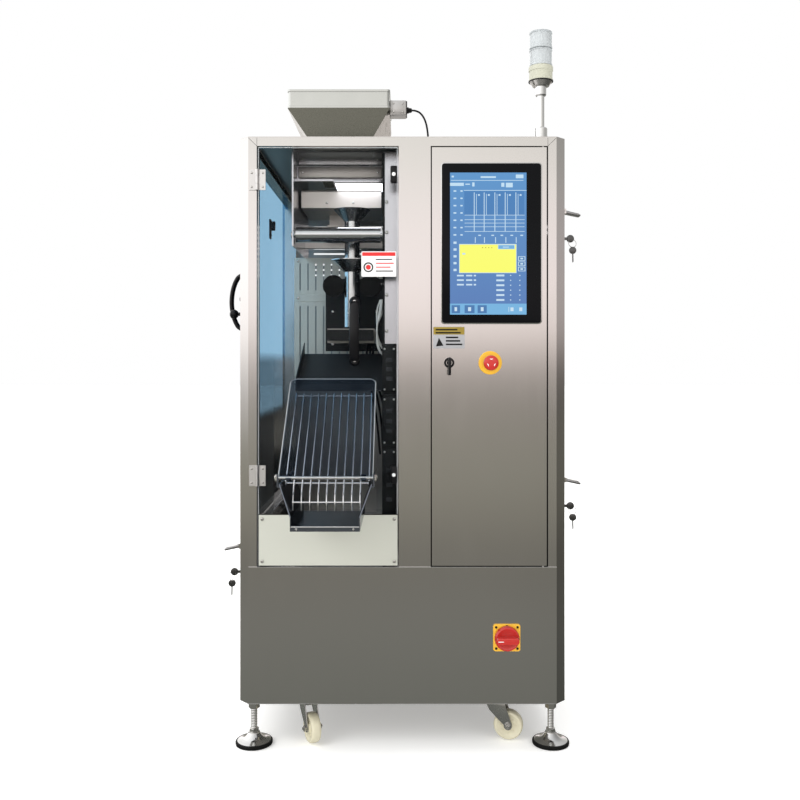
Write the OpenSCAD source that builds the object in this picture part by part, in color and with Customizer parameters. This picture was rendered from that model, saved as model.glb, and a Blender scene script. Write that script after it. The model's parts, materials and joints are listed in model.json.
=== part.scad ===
// Vertical form fill sealer in a closed cabinet, with its doors, feeder, sealing set and discharge chute.
// Millimetres, +Z up, X across the front, the front faces -Y. The floor is Z = 0.

/* [Cabinet] */
// Width of the cabinet over its side faces
cab_w = 800; // [780:5:960]
// Depth of the cabinet from its front face to its back sheet
cab_d = 850; // [800:5:1000]
// Height of the cabinet box, without feet and hopper
cab_h = 1382; // [1340:2:1600]
// Height of the cabinet's underside above the floor
leg_h = 118; // [116:1:130]
// Width of a corner post
post_w = 45; // [42:1:54]
// Chamfer on the outer edge of a corner post
post_chamfer = 24; // [15:1:30]
// Thickness of the sheet metal
sheet = 2; // [1.5:0.1:2.5]
// Height of the rails along the top
top_rail_h = 21; // [18:1:25]
// Depth of the rails
rail_d = 30; // [26:1:36]
// Gap around a door
door_gap = 3; // [2:0.5:4]

/* [Front layout] */
// Clear width of the product bay
bay_w = 346; // [320:2:400]
// Width of the stile between the two bays
stile_w = 78; // [60:2:90]
// Height of the lower front sheet
lower_h = 334; // [300:2:380]
// Height of the apron under the clear door's cut-out
apron_h = 124; // [110:1:130]
// Thickness of the clear panes
pane_t = 8; // [6:1:10]
// Length of a bow handle
handle_len = 170; // [140:5:200]
// Distance that a bow handle stands out
handle_reach = 40; // [34:1:46]

/* [Chute] */
// Inner width of the chute at its cover
chute_w = 204; // [180:2:220]
// Distance that the tray reaches in front of the cabinet
chute_reach = 245; // [235:1:290]
// Distance from the cabinet's front to the cover's cross rod
rod_reach = 218; // [200:1:225]
// Drop from the top of the cover to its cross rod
cover_drop = 204; // [180:1:220]
// Number of wires in the slide
wire_count = 11; // [7:1:13]
// Thickness of a wire
wire_t = 4; // [3:0.5:5]

/* [Controls] */
// Width of the touch panel
panel_w = 242; // [200:2:250]
// Height of the touch panel
panel_h = 389; // [300:2:400]
// Radius of the emergency stop's ring
stop_ring_r = 28.5; // [25:0.5:32]
// Radius of the emergency stop's head
stop_head_r = 18.5; // [15:0.5:20]
// Travel of the emergency stop's head
stop_travel = 5; // [3:0.5:6]
// Side of the main switch's plate
switch_side = 66; // [55:1:75]

/* [Hopper and stack light] */
// Width of the hopper's rim
hopper_w = 265; // [230:5:290]
// Depth of the hopper's rim
hopper_d = 290; // [250:5:320]
// Height of the hopper's rim
rim_h = 48; // [40:1:60]
// Height of the hopper's funnel above the roof
funnel_h = 112; // [90:2:130]
// Side of the square throat
throat = 106; // [90:2:120]
// Radius of the stack light's tiers
light_r = 29; // [25:0.5:35]
// Height of one tier of the stack light
tier_h = 44; // [35:1:60]
// Radius of the stack light's pole
pole_r = 9; // [8:0.5:12]

/* [Feet and castors] */
// Radius of a foot's disc
foot_r = 46; // [40:1:50]
// Radius of a foot's spindle
spindle_r = 8; // [6:0.5:10]
// Travel of a foot
foot_travel = 25; // [10:1:28]
// Radius of a castor's wheel
wheel_r = 37; // [32:1:38]
// Width of a castor's wheel
wheel_w = 24; // [20:1:28]
// Distance from a castor's pin to its axle
castor_trail = 30; // [24:1:34]

/* [Sealing set] */
// Radius of the forming tube
tube_r = 20; // [16:1:24]
// Gap between an open jaw and the middle of the tube
jaw_gap = 22; // [20:1:26]
// Radius of the film roller
roller_r = 20; // [15:1:24]
// Radius of the film pull wheels
pull_r = 28; // [24:1:30]

/* [Hidden] */
$fn = 48;

// Running clearance of a shaft in its bore, and the gap at a seat between two bodies
run_gap = 0.05;
seat_gap = 0.3;

// Faces of the cabinet; the whole object is centred on X and Y
left_x = -cab_w / 2;
right_x = cab_w / 2;
front_y = -(cab_d - chute_reach + sheet) / 2;
back_y = front_y + cab_d;
base_z = leg_h;
roof_z = leg_h + cab_h;

// The two bays of the front
bay_x = [left_x + post_w, left_x + post_w + bay_w];
control_x = [bay_x[1] + stile_w, right_x - post_w];
lower_z = base_z + lower_h;
rail_z = roof_z - top_rail_h;
door_z = [lower_z + door_gap, rail_z - door_gap];
tray_depth = 20;

// Middle of the chute, its floor and its cross rod
chute_x = bay_x[0] + 187;
apron_z = door_z[0] + apron_h;
tray_z = apron_z + 6;
tray_floor_w = 152;
rod_r = 4;
rod_y = front_y - rod_reach;
rod_z = tray_z + 113;
cover_t = 5;
cover_angle = atan2(cover_drop, rod_reach);
// Clear distance between the rod and the underside of the cover
cover_lift = 1;
cover_len = (front_y - seat_gap - rod_y + (rod_r + cover_lift) * sin(cover_angle)) / cos(cover_angle);
cut_out_top = round(rod_z + cover_len * sin(cover_angle)) - 6;

// Machine side plate at the right of the product bay, and its set-back from the cabinet's front
plate_x = bay_x[1] - 41;
plate_t = 6;
plate_front = front_y + 60;

// Forming tube
tube_x = plate_x - pull_r - tube_r - 34;
tube_y = front_y + 170;
jaw_z = cut_out_top + 102;
jaw_h = 36;
jaw_t = 40;
jaw_w = 120;
jaw_rod_r = 8;
jaw_rod_x = 46;
cross_y = front_y + 290;
cross_t = 10;
pull_z = jaw_z + 150;
pull_shaft_r = 6;
seal_z = jaw_z + 50;
seal_h = 66;
roller_y = front_y + 80;
roller_z = pull_z + 122;
roller_shaft_r = 8;
feeder_x = [bay_x[0] + 82, plate_x];
feeder_t = 4;
pan_z = roller_z + 86;

// Pivot pins of the sheet doors
pin_r = 3;
pin_len = 9;
pin_inset = 8;
pin_depth = 5.5;

// Division of the left side
left_split_z = lower_z + 56;

// Flip-out latches: lever length and place
latch_y = front_y + 100;
lever_len = 55;
lever_w = 24;
lever_pin_r = 3;
latch_left_z = lower_z + 33;
latch_upper_z = rail_z - 145;
latch_lower_z = lower_z + 201;

// Feet and castors
foot_x = right_x - 30;
foot_y = 52;
castor_x = 238;
castor_y = 82;
castor_pin_r = 6;
castor_angles = [-65, -12, -35, -150];
wheel_lift = 2;

// A box between two places on each axis
module span(x, y, z) {
    translate([x[0], y[0], z[0]]) cube([x[1] - x[0], y[1] - y[0], z[1] - z[0]]);
}

// A round bar along each axis
module bar_x(x, y, z, r) {
    translate([x[0], y, z]) rotate([0, 90, 0]) cylinder(h = x[1] - x[0], r = r);
}
module bar_y(x, y, z, r) {
    translate([x, y[0], z]) rotate([-90, 0, 0]) cylinder(h = y[1] - y[0], r = r);
}
module bar_z(x, y, z, r) {
    translate([x, y, z[0]]) cylinder(h = z[1] - z[0], r = r);
}

// An outline in Y and Z carried along X
module prism_x(x, outline) {
    translate([x[0], 0, 0]) rotate([90, 0, 90]) linear_extrude(x[1] - x[0]) polygon(outline);
}

// An outline in X and Z carried along Y
module prism_y(y, outline) {
    translate([0, y[1], 0]) rotate([90, 0, 0]) linear_extrude(y[1] - y[0]) polygon(outline);
}

// A channel along X, open towards +Y or -Y
module channel_x(x, y, z, open) {
    inner = open > 0 ? [y[0] + sheet, y[1] + 1] : [y[0] - 1, y[1] - sheet];
    difference() {
        span(x, y, z);
        span([x[0] - 1, x[1] + 1], inner, [z[0] + sheet, z[1] - sheet]);
    }
}

// A channel along Y, open towards +X or -X
module channel_y(x, y, z, open) {
    inner = open > 0 ? [x[0] + sheet, x[1] + 1] : [x[0] - 1, x[1] - sheet];
    difference() {
        span(x, y, z);
        span(inner, [y[0] - 1, y[1] + 1], [z[0] + sheet, z[1] - sheet]);
    }
}

// Runs its children at the four corners of the cabinet's plan, mirrored
module at_corners() {
    for (side = [0, 1])
        for (end = [0, 1])
            translate([0, end * (front_y + back_y), 0]) mirror([0, end, 0])
                mirror([side, 0, 0]) children();
}

// Hollow corner post with a chamfered outer edge, at the front left corner
module corner_post() {
    inner = post_chamfer + sheet * (sqrt(2) - 1);
    edge = post_w - sheet;
    translate([left_x, front_y, base_z]) linear_extrude(cab_h) difference() {
        polygon([[0, post_chamfer], [post_chamfer, 0], [post_w, 0], [post_w, post_w], [0, post_w]]);
        polygon([[sheet, inner], [inner, sheet], [edge, sheet], [edge, edge], [sheet, edge]]);
    }
}

// Rails between the posts; each end runs 1 mm into a post's wall
module front_rails() {
    x = [left_x + post_w - 1, right_x - post_w + 1];
    y = [front_y, front_y + rail_d];
    channel_x(x, y, [rail_z, roof_z], 1);
    channel_x(x, y, [lower_z - rail_d, lower_z], 1);
    channel_x(x, y, [base_z, base_z + rail_d], 1);
}
module back_rails() {
    x = [left_x + post_w - 1, right_x - post_w + 1];
    y = [back_y - rail_d, back_y];
    channel_x(x, y, [rail_z, roof_z], -1);
    channel_x(x, y, [base_z, base_z + rail_d], -1);
}
module side_rails() {
    y = [front_y + post_w - 1, back_y - post_w + 1];
    left = [left_x, left_x + rail_d];
    right = [right_x - rail_d, right_x];
    for (z = [[rail_z, roof_z], [left_split_z - rail_d / 2, left_split_z + rail_d / 2], [base_z, base_z + rail_d]])
        channel_y(left, y, z, 1);
    for (z = [[rail_z, roof_z], [lower_z - rail_d, lower_z], [base_z, base_z + rail_d]])
        channel_y(right, y, z, -1);
}

// Threaded boss and lock nut of a foot, and its bore
foot_nut_r = 14;
module foot_boss() {
    bar_z(-foot_x, front_y + foot_y, [base_z - 16, base_z + 1], spindle_r + 5);
    translate([-foot_x, front_y + foot_y, base_z - 28]) cylinder(h = 12, r = foot_nut_r, $fn = 6);
}
module foot_bore() {
    bar_z(-foot_x, front_y + foot_y, [base_z - 30, base_z + foot_travel + 15], spindle_r + run_gap);
}

// Holes in the rails for the pivot pins of the doors
module pivot_holes() {
    r = pin_r + run_gap;
    bar_z(control_x[1] - door_gap - pin_inset, front_y + pin_depth, [lower_z - sheet - 1, lower_z + 1], r);
    bar_z(control_x[1] - door_gap - pin_inset, front_y + pin_depth, [rail_z - 1, rail_z + sheet + 1], r);
    for (z = [base_z + rail_d, left_split_z - rail_d / 2, left_split_z + rail_d / 2, rail_z])
        bar_z(left_x + pin_depth, side_pin_y, [z - sheet - 1, z + sheet + 1], r);
    for (z = [lower_z, rail_z])
        bar_z(right_x - pin_depth, side_pin_y, [z - sheet - 1, z + sheet + 1], r);
}

// Ends of the side doors, and their pivot
side_y = [front_y + post_w + door_gap, back_y - post_w - door_gap];
side_pin_y = side_y[1] - pin_inset;

module cabinet_frame() color("silver") {
    difference() {
        union() {
            at_corners() corner_post();
            at_corners() foot_boss();
            front_rails();
            back_rails();
            side_rails();
            // Stile between the bays
            span([bay_x[1], control_x[0]], [front_y, front_y + sheet], [lower_z - 1, rail_z + 1]);
            for (x = [bay_x[1], control_x[0] - sheet])
                span([x, x + sheet], [front_y, front_y + rail_d], [lower_z - 1, rail_z + 1]);
            // Floor of the cabinet, the deck under the two bays, and the fixed sheet low on the right side
            span([left_x + rail_d, right_x - rail_d + 1], [front_y + post_w - 1, back_y - post_w + 1],
                [lower_z - sheet, lower_z]);
            span([left_x + post_w - 1, right_x - post_w + 1], [front_y + rail_d - 1, back_y], [lower_z - sheet, lower_z]);
            span([left_x + sheet, right_x - sheet], [front_y + post_w - 1, back_y - post_w + 1], [base_z, base_z + sheet]);
            span([left_x + post_w - 1, right_x - post_w + 1], [front_y + 1, back_y - 1], [base_z, base_z + sheet]);
            span([right_x - sheet, right_x], [front_y + post_w - 1, back_y - post_w + 1], [base_z, lower_z]);
        }
        at_corners() foot_bore();
        pivot_holes();
    }
}

// Middle of the hopper on the roof
hopper_x = chute_x + 2;
hopper_y = front_y + 150 + hopper_d / 2;
rim_z = roof_z + sheet + funnel_h;

// Outline of the cabinet's plan
module plan_outline() {
    c = post_chamfer;
    polygon([
        [left_x + c, front_y], [right_x - c, front_y], [right_x, front_y + c], [right_x, back_y - c],
        [right_x - c, back_y], [left_x + c, back_y], [left_x, back_y - c], [left_x, front_y + c]
    ]);
}

// Level sensor on the hopper's right side, its gland, and where its cable goes through the roof
sensor_w = 44;
sensor_x = hopper_x + hopper_w / 2;
gland_len = 15;
cable_run = 44;
cable_x = sensor_x + sensor_w + gland_len + cable_run;
cable_y = front_y + 190;
light_x = right_x - 47;
light_y = front_y + 100;
grommet_r = 9;

module roof_sheet() color("silver") {
    difference() {
        translate([0, 0, roof_z]) linear_extrude(sheet) plan_outline();
        half = throat / 2;
        span([hopper_x - half, hopper_x + half], [hopper_y - half, hopper_y + half], [roof_z - 1, roof_z + sheet + 1]);
        bar_z(cable_x, cable_y, [roof_z - 1, roof_z + sheet + 1], grommet_r - 3);
    }
}

// Vents in two groups low and high on the back
module back_sheet() color("silver") {
    vent_w = 160;
    vent_h = 6;
    difference() {
        span([left_x + post_w - 10, right_x - post_w + 10], [back_y, back_y + sheet], [base_z + 10, roof_z - 10]);
        for (z = [base_z + 120, roof_z - 260])
            for (x = [left_x / 2 - 20, right_x / 2 + 20])
                for (row = [0 : 9])
                    span([x - vent_w / 2, x + vent_w / 2], [back_y - 1, back_y + sheet + 1],
                        [z + row * 3 * vent_h, z + row * 3 * vent_h + vent_h]);
    }
}

module lower_front_sheet() color("silver") {
    span([left_x + post_chamfer, right_x - post_chamfer], [front_y - sheet, front_y], [base_z, lower_z]);
}

// Wall between the product bay and the control bay, with its front return
module bay_partition() color("gainsboro") {
    y = [front_y + rail_d, back_y - rail_d];
    span([bay_x[1], bay_x[1] + sheet], y, [lower_z, rail_z]);
    span([plate_x + plate_t, bay_x[1]], [plate_front + 1, plate_front + 1 + sheet], [lower_z, rail_z]);
}

// Guard with two rows of upright slots, behind the forming tube
guard_y = front_y + 330;
guard_x = [bay_x[0] + 52, plate_x];
guard_z = [jaw_z - 110, roller_z - 33];
guard_pitch = 22;
module slatted_guard() color("darkgray") {
    slot_w = 4;
    band_z = guard_z[1] - 110;
    count = floor((guard_x[1] - guard_x[0] - 30) / guard_pitch);
    difference() {
        union() {
            span(guard_x, [guard_y, guard_y + 3], guard_z);
            span(guard_x, [guard_y, guard_y + 30], [guard_z[1] - 1, guard_z[1] + 3]);
        }
        for (i = [0 : count])
            for (z = [[guard_z[0] + 15, band_z - 22], [band_z + 22, guard_z[1] - 12]])
                span([guard_x[0] + 14 + i * guard_pitch, guard_x[0] + 14 + i * guard_pitch + slot_w],
                    [guard_y - 1, guard_y + 4], z);
    }
}

// Butt hinges of the clear door: axis, leaves, knuckles
hinge_x = bay_x[0] + door_gap / 2;
hinge_y = front_y - 5;
hinge_half = 25;
hinge_levels = [lower_z + 223, rail_z - 83];
leaf_t = 3;
leaf_w = 20;
knuckle_r = 4.5;
knuckle_half = 10;
hinge_pin_r = 2.5;

module hinge_knuckles(z, r) {
    bar_z(hinge_x, hinge_y, [z - hinge_half, z - knuckle_half], r);
    bar_z(hinge_x, hinge_y, [z + knuckle_half, z + hinge_half], r);
}

module front_hinge_leaves() color("whitesmoke") {
    for (z = hinge_levels) {
        difference() {
            union() {
                span([hinge_x - leaf_w, hinge_x - 0.2], [front_y - leaf_t, front_y], [z - hinge_half, z + hinge_half]);
                hinge_knuckles(z, knuckle_r);
            }
            bar_z(hinge_x, hinge_y, [z - knuckle_half - seat_gap, z + knuckle_half + seat_gap], knuckle_r + 1);
        }
        bar_z(hinge_x, hinge_y, [z - hinge_half, z + hinge_half], hinge_pin_r);
    }
}

module front_door_leaves() color("whitesmoke") {
    for (z = hinge_levels)
        difference() {
            union() {
                span([hinge_x + 0.2, hinge_x + leaf_w], [front_y - leaf_t, front_y], [z - hinge_half, z + hinge_half]);
                bar_z(hinge_x, hinge_y, [z - knuckle_half + seat_gap, z + knuckle_half - seat_gap], knuckle_r);
            }
            hinge_knuckles(z, knuckle_r + 1);
            bar_z(hinge_x, hinge_y, [z - hinge_half - 1, z + hinge_half + 1], hinge_pin_r + run_gap);
        }
}

module hopper() color("lightgray") {
    wall = 2;
    half = throat / 2 - seat_gap;
    x = [hopper_x - hopper_w / 2, hopper_x + hopper_w / 2];
    y = [hopper_y - hopper_d / 2, hopper_y + hopper_d / 2];
    low = roof_z + sheet;
    // Rim
    difference() {
        span(x, y, [rim_z, rim_z + rim_h]);
        span([x[0] + wall, x[1] - wall], [y[0] + wall, y[1] - wall], [rim_z - 1, rim_z + rim_h + 1]);
    }
    // Funnel
    difference() {
        hull() {
            span(x, y, [rim_z, rim_z + 0.5]);
            span([hopper_x - half, hopper_x + half], [hopper_y - half, hopper_y + half], [low, low + 0.5]);
        }
        hull() {
            span([x[0] + wall, x[1] - wall], [y[0] + wall, y[1] - wall], [rim_z, rim_z + 1]);
            span([hopper_x - half + wall, hopper_x + half - wall], [hopper_y - half + wall, hopper_y + half - wall],
                [low - 1, low]);
        }
    }
    // Flange on the roof, and the throat through it
    flange = half + 25;
    difference() {
        union() {
            span([hopper_x - flange, hopper_x + flange], [hopper_y - flange, hopper_y + flange], [low, low + 3]);
            span([hopper_x - half, hopper_x + half], [hopper_y - half, hopper_y + half], [roof_z - 60, low + 3]);
        }
        span([hopper_x - half + wall, hopper_x + half - wall], [hopper_y - half + wall, hopper_y + half - wall],
            [roof_z - 61, low + 4]);
    }
}

module level_sensor() color("silver") {
    span([sensor_x, sensor_x + sensor_w], [cable_y - 20, cable_y + 20], [rim_z - 14, rim_z + 26]);
    bar_x([sensor_x + sensor_w, sensor_x + sensor_w + gland_len], cable_y, rim_z + 4, 6);
}

// Route of the sensor's cable, from the gland's end down through the roof
cable_r = 2.5;
cable_start = [sensor_x + sensor_w + gland_len, cable_y, rim_z + 4];
cable_route = [
    [0, 0], [9, 0], [19, -5], [28, -16], [34, -31], [38, -47], [41, -64], [43, -82], [cable_run, -100],
    [cable_run, -120], [cable_run, -140]
];
cable_sides = 8;
function ring_normal(i) =
    let (a = cable_route[max(i - 1, 0)], b = cable_route[min(i + 1, len(cable_route) - 1)], d = (b - a) / norm(b - a))
    [-d[1], d[0]];
function ring_point(i, k) =
    let (n = ring_normal(i), t = 360 * k / cable_sides, p = cable_route[i])
    cable_start + [p[0] + cable_r * cos(t) * n[0], cable_r * sin(t), p[1] + cable_r * cos(t) * n[1]];
module sensor_cable() color("black") {
    last = len(cable_route) - 1;
    points = [for (i = [0 : last]) for (k = [0 : cable_sides - 1]) ring_point(i, k)];
    sides = [for (i = [0 : last - 1]) for (k = [0 : cable_sides - 1])
        let (next = (k + 1) % cable_sides, a = i * cable_sides, b = a + cable_sides)
        [a + k, b + k, b + next, a + next]];
    ends = [[for (k = [0 : cable_sides - 1]) k], [for (k = [cable_sides - 1 : -1 : 0]) last * cable_sides + k]];
    polyhedron(points, concat(sides, ends));
}

// Stack light
socket_z = roof_z + sheet;
pole_top = socket_z + 128;
module stack_pole() color("silver") {
    bar_z(light_x, light_y, [socket_z, socket_z + 6], pole_r + 20);
    bar_z(light_x, light_y, [socket_z, socket_z + 46], pole_r + 8);
    bar_z(light_x, light_y, [socket_z, pole_top], pole_r);
    bar_z(light_x, light_y, [pole_top, pole_top + 24], pole_r + 5);
}

base_low = pole_top + 24;
base_high = base_low + 50;
module stack_base() color("cornsilk") {
    translate([light_x, light_y, 0]) rotate_extrude() polygon([
        [0, base_low], [light_r - 9, base_low], [light_r + 2, base_low + 11], [light_r + 2, base_high], [0, base_high]
    ]);
}

module stack_tiers() color("aliceblue") {
    for (i = [0, 1])
        bar_z(light_x, light_y, [base_high + i * tier_h, base_high + (i + 1) * tier_h - 1.5], light_r);
    bar_z(light_x, light_y, [base_high, base_high + 2 * tier_h - 1.5], light_r - 3);
}

// Main switch on the lower front sheet
switch_x = right_x - 146;
switch_z = base_z + 163;
switch_y = front_y - sheet;
switch_t = 5;
switch_shaft_r = 5;
switch_knob_r = 30;
module switch_plate() color("gold") {
    half = switch_side / 2;
    difference() {
        span([switch_x - half, switch_x + half], [switch_y - switch_t, switch_y], [switch_z - half, switch_z + half]);
        bar_y(switch_x, [switch_y - switch_t - 1, switch_y + 1], switch_z, switch_shaft_r + run_gap);
    }
}

module switch_knob() color("red") {
    face = switch_y - switch_t - seat_gap;
    bar_y(switch_x, [face - 14, face], switch_z, switch_knob_r);
    bar_y(switch_x, [face - 1, switch_y - 0.5], switch_z, switch_shaft_r);
    span([switch_x - switch_knob_r + 3, switch_x + switch_knob_r - 3], [face - 32, face - 13], [switch_z - 8, switch_z + 8]);
}

// Feet
module foot(x, y) {
    translate([x, y, 0]) {
        rotate_extrude() polygon([
            [0, 0], [foot_r, 0], [foot_r, 8], [foot_r - 14, 12], [spindle_r + 6, 27], [spindle_r + 6, 31], [0, 31]
        ]);
        bar_z(0, 0, [30, base_z + foot_travel], spindle_r);
    }
}
foot_ys = [front_y + foot_y, back_y - foot_y];
module foot_front_left() color("silver") foot(-foot_x, foot_ys[0]);
module foot_front_right() color("silver") foot(foot_x, foot_ys[0]);
module foot_rear_left() color("silver") foot(-foot_x, foot_ys[1]);
module foot_rear_right() color("silver") foot(foot_x, foot_ys[1]);

// Castors: places in the order of their resting angles
castor_places = [
    [-castor_x, front_y + castor_y], [castor_x, front_y + castor_y],
    [-castor_x, back_y - castor_y], [castor_x, back_y - castor_y]
];
castor_axle_r = 5;
axle_z = wheel_lift + wheel_r;
fork_top = base_z - 12 - seat_gap;
fork_low = base_z - 26;

module castor_plates() color("silver") {
    for (place = castor_places)
        translate([place[0], place[1], 0]) {
            difference() {
                span([-48, 48], [-36, 36], [base_z - 4, base_z]);
                for (x = [-39, 39])
                    for (y = [-27, 27])
                        bar_z(x, y, [base_z - 5, base_z + 1], 4.25);
            }
            bar_z(0, 0, [base_z - 12, base_z - 4], 22);
            bar_z(0, 0, [fork_low - 5, base_z - 11], castor_pin_r);
            bar_z(0, 0, [fork_low - 5, fork_low - seat_gap], 10);
        }
}

// Fork in its own frame: the trail points along +X, the axle lies along Y
module castor_fork(i) {
    half = wheel_w / 2 + 2;
    cheek = [
        [-20, fork_low], [22, fork_low], [castor_trail + 10, axle_z + 4], [castor_trail + 8, axle_z - 8],
        [castor_trail - 6, axle_z - 9]
    ];
    translate([castor_places[i][0], castor_places[i][1], 0]) rotate([0, 0, castor_angles[i]]) {
        difference() {
            union() {
                bar_z(0, 0, [fork_low, fork_top], 24);
                span([-20, 22], [-half - 3, half + 3], [fork_low, fork_low + 5]);
            }
            bar_z(0, 0, [fork_low - 1, fork_top + 1], castor_pin_r + run_gap);
        }
        prism_y([half, half + 3], cheek);
        prism_y([-half - 3, -half], cheek);
        bar_y(castor_trail, [-half - 6, half + 6], axle_z, castor_axle_r);
    }
}
module castor_wheel(i) {
    edge = 4;
    translate([castor_places[i][0], castor_places[i][1], 0]) rotate([0, 0, castor_angles[i]])
        translate([castor_trail, 0, axle_z]) rotate([90, 0, 0]) rotate_extrude() polygon([
            [castor_axle_r + run_gap, -wheel_w / 2 - 1], [14, -wheel_w / 2 - 1], [14, -wheel_w / 2 + 3],
            [wheel_r - 9, -wheel_w / 2 + 3], [wheel_r - 7, -wheel_w / 2], [wheel_r - edge, -wheel_w / 2],
            [wheel_r, -wheel_w / 2 + edge], [wheel_r, wheel_w / 2 - edge], [wheel_r - edge, wheel_w / 2],
            [wheel_r - 7, wheel_w / 2], [wheel_r - 9, wheel_w / 2 - 3], [14, wheel_w / 2 - 3],
            [14, wheel_w / 2 + 1], [castor_axle_r + run_gap, wheel_w / 2 + 1]
        ]);
}
module castor_fork_front_left() color("silver") castor_fork(0);
module castor_fork_front_right() color("silver") castor_fork(1);
module castor_fork_rear_left() color("silver") castor_fork(2);
module castor_fork_rear_right() color("silver") castor_fork(3);
module castor_wheel_front_left() color("ivory") castor_wheel(0);
module castor_wheel_front_right() color("ivory") castor_wheel(1);
module castor_wheel_rear_left() color("ivory") castor_wheel(2);
module castor_wheel_rear_right() color("ivory") castor_wheel(3);

// Frame that carries the feeder and the film roller: a side plate hung from the roof, and a fascia
feeder_y = [front_y + 60, front_y + 420];
module feeder_frame() color("silver") {
    difference() {
        union() {
            span([feeder_x[0] - feeder_t, feeder_x[0]], feeder_y, [roller_z - 30, roof_z]);
            span([feeder_x[0] - 1, feeder_x[1]], [front_y + 150, front_y + 150 + sheet], [pan_z + 64, roof_z - 38]);
        }
        bar_x([feeder_x[0] - feeder_t - 1, feeder_x[0] + 1], roller_y, roller_z, roller_shaft_r + run_gap);
    }
}

// Vibrating pan on its drive, carried on a beam between the side plates
module feeder_pan() color("linen") {
    x = [feeder_x[0] + 6, feeder_x[1] - 6];
    y = [front_y + 184, front_y + 400];
    side_h = 44;
    beam_y = [front_y + 336, front_y + 356];
    difference() {
        span(x, y, [pan_z, pan_z + side_h]);
        span([x[0] + sheet, x[1] - sheet], [y[0] + sheet, y[1] - sheet], [pan_z + sheet, pan_z + side_h + 1]);
        // Outlet over the forming tube's funnel
        span([tube_x - 18, tube_x + 18], [y[0] + sheet, y[0] + sheet + 24], [pan_z - 1, pan_z + sheet + 1]);
    }
    for (spring_y = [front_y + 310, front_y + 378])
        span([chute_x - 35, chute_x + 35], [spring_y, spring_y + sheet], [pan_z - 30, pan_z + 1]);
    span([chute_x - 40, chute_x + 40], [front_y + 300, front_y + 390], [pan_z - 70, pan_z - 28]);
    span(feeder_x, beam_y, [pan_z - 88, pan_z - 69]);
}

// Forming tube with its funnel and the shoulder that the film is drawn over
module forming_set() color("gainsboro") {
    wall = 1.5;
    top = pan_z - 8;
    low = jaw_z + jaw_h + 6;
    shoulder = pull_z + 36;
    translate([tube_x, tube_y, 0]) {
        rotate_extrude() polygon([
            [tube_r - wall, low], [tube_r, low], [tube_r, shoulder], [tube_r + 36, shoulder + 30],
            [tube_r + 36, shoulder + 32], [tube_r, shoulder + 2], [tube_r, top - 32], [tube_r + 28, top],
            [tube_r + 28 - wall, top], [tube_r - wall, top - 31]
        ]);
    }
    span([tube_x + tube_r - 1, plate_x], [tube_y - 5, tube_y + 5], [roller_z + 14, roller_z + 34]);
}

pull_x = tube_r + seat_gap + pull_r;

// Side plate of the machine with the cross plate, the jaw rods and the front boxes
module machine_frame() color("dimgray") {
    difference() {
        union() {
            span([plate_x, plate_x + plate_t], [plate_front, back_y - rail_d], [lower_z, roof_z - 24]);
            span([tube_x - 80, plate_x + 1], [cross_y, cross_y + cross_t], [jaw_z - 20, pull_z + 30]);
        }
        for (side = [-1, 1])
            bar_y(tube_x + side * pull_x, [cross_y - 1, cross_y + cross_t + 1], pull_z, pull_shaft_r + run_gap);
        bar_y(tube_x, [cross_y - 1, cross_y + cross_t + 1], seal_z + seal_h / 2, pull_shaft_r + run_gap);
        bar_x([plate_x - 1, plate_x + plate_t + 1], roller_y, roller_z, roller_shaft_r + run_gap);
    }
    tie_y = tube_y - jaw_gap - jaw_t - 36;
    for (side = [-1, 1])
        bar_y(tube_x + side * jaw_rod_x, [tie_y, cross_y + 1], jaw_z + jaw_h / 2, jaw_rod_r);
    span([tube_x - jaw_w / 2, tube_x + jaw_w / 2], [tie_y - 8, tie_y + 1], [jaw_z + 4, jaw_z + jaw_h - 4]);
    // Boxes for the valves and terminals, stepped up the side plate
    for (box = [[lower_z + 106, lower_z + 290, 34], [lower_z + 290, lower_z + 420, 44], [lower_z + 420, jaw_z - 4, 30]])
        span([plate_x, bay_x[1] - 6], [plate_front - box[2], plate_front + 1], [box[0], box[1]]);
}

module film_roller() color("whitesmoke") {
    bar_x([feeder_x[0] + 5, feeder_x[1] - 5], roller_y, roller_z, roller_r);
    bar_x([feeder_x[0] - feeder_t - 4, feeder_x[1] + plate_t + 4], roller_y, roller_z, roller_shaft_r);
}

module pull_wheel(side) {
    bar_y(tube_x + side * pull_x, [tube_y - 13, tube_y + 13], pull_z, pull_r);
    bar_y(tube_x + side * pull_x, [tube_y, cross_y + cross_t + 8], pull_z, pull_shaft_r);
}
module pull_wheel_left() color("black") pull_wheel(-1);
module pull_wheel_right() color("black") pull_wheel(1);

module vertical_seal() color("silver") {
    y = tube_y + tube_r + 5;
    span([tube_x - 8, tube_x + 8], [y, y + 22], [seal_z, seal_z + seal_h]);
    bar_y(tube_x, [y + 21, cross_y + cross_t + 10], seal_z + seal_h / 2, pull_shaft_r);
}

knife_w = 60;
knife_t = 3;
module jaw(y) {
    difference() {
        span([tube_x - jaw_w / 2, tube_x + jaw_w / 2], y, [jaw_z, jaw_z + jaw_h]);
        for (side = [-1, 1])
            bar_y(tube_x + side * jaw_rod_x, [y[0] - 1, y[1] + 1], jaw_z + jaw_h / 2, jaw_rod_r + run_gap);
        children();
    }
}
front_jaw_y = [tube_y - jaw_gap - jaw_t, tube_y - jaw_gap];
rear_jaw_y = [tube_y + jaw_gap, tube_y + jaw_gap + jaw_t];
knife_x = [tube_x - knife_w / 2, tube_x + knife_w / 2];
slot_x = [knife_x[0] - 1, knife_x[1] + 1];
knife_z = [jaw_z + jaw_h / 2 - knife_t / 2, jaw_z + jaw_h / 2 + knife_t / 2];
slot_z = [knife_z[0] - seat_gap, knife_z[1] + seat_gap];
module jaw_front() color("silver") jaw(front_jaw_y) span(slot_x, [front_jaw_y[1] - 24, front_jaw_y[1] + 1], slot_z);
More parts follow.
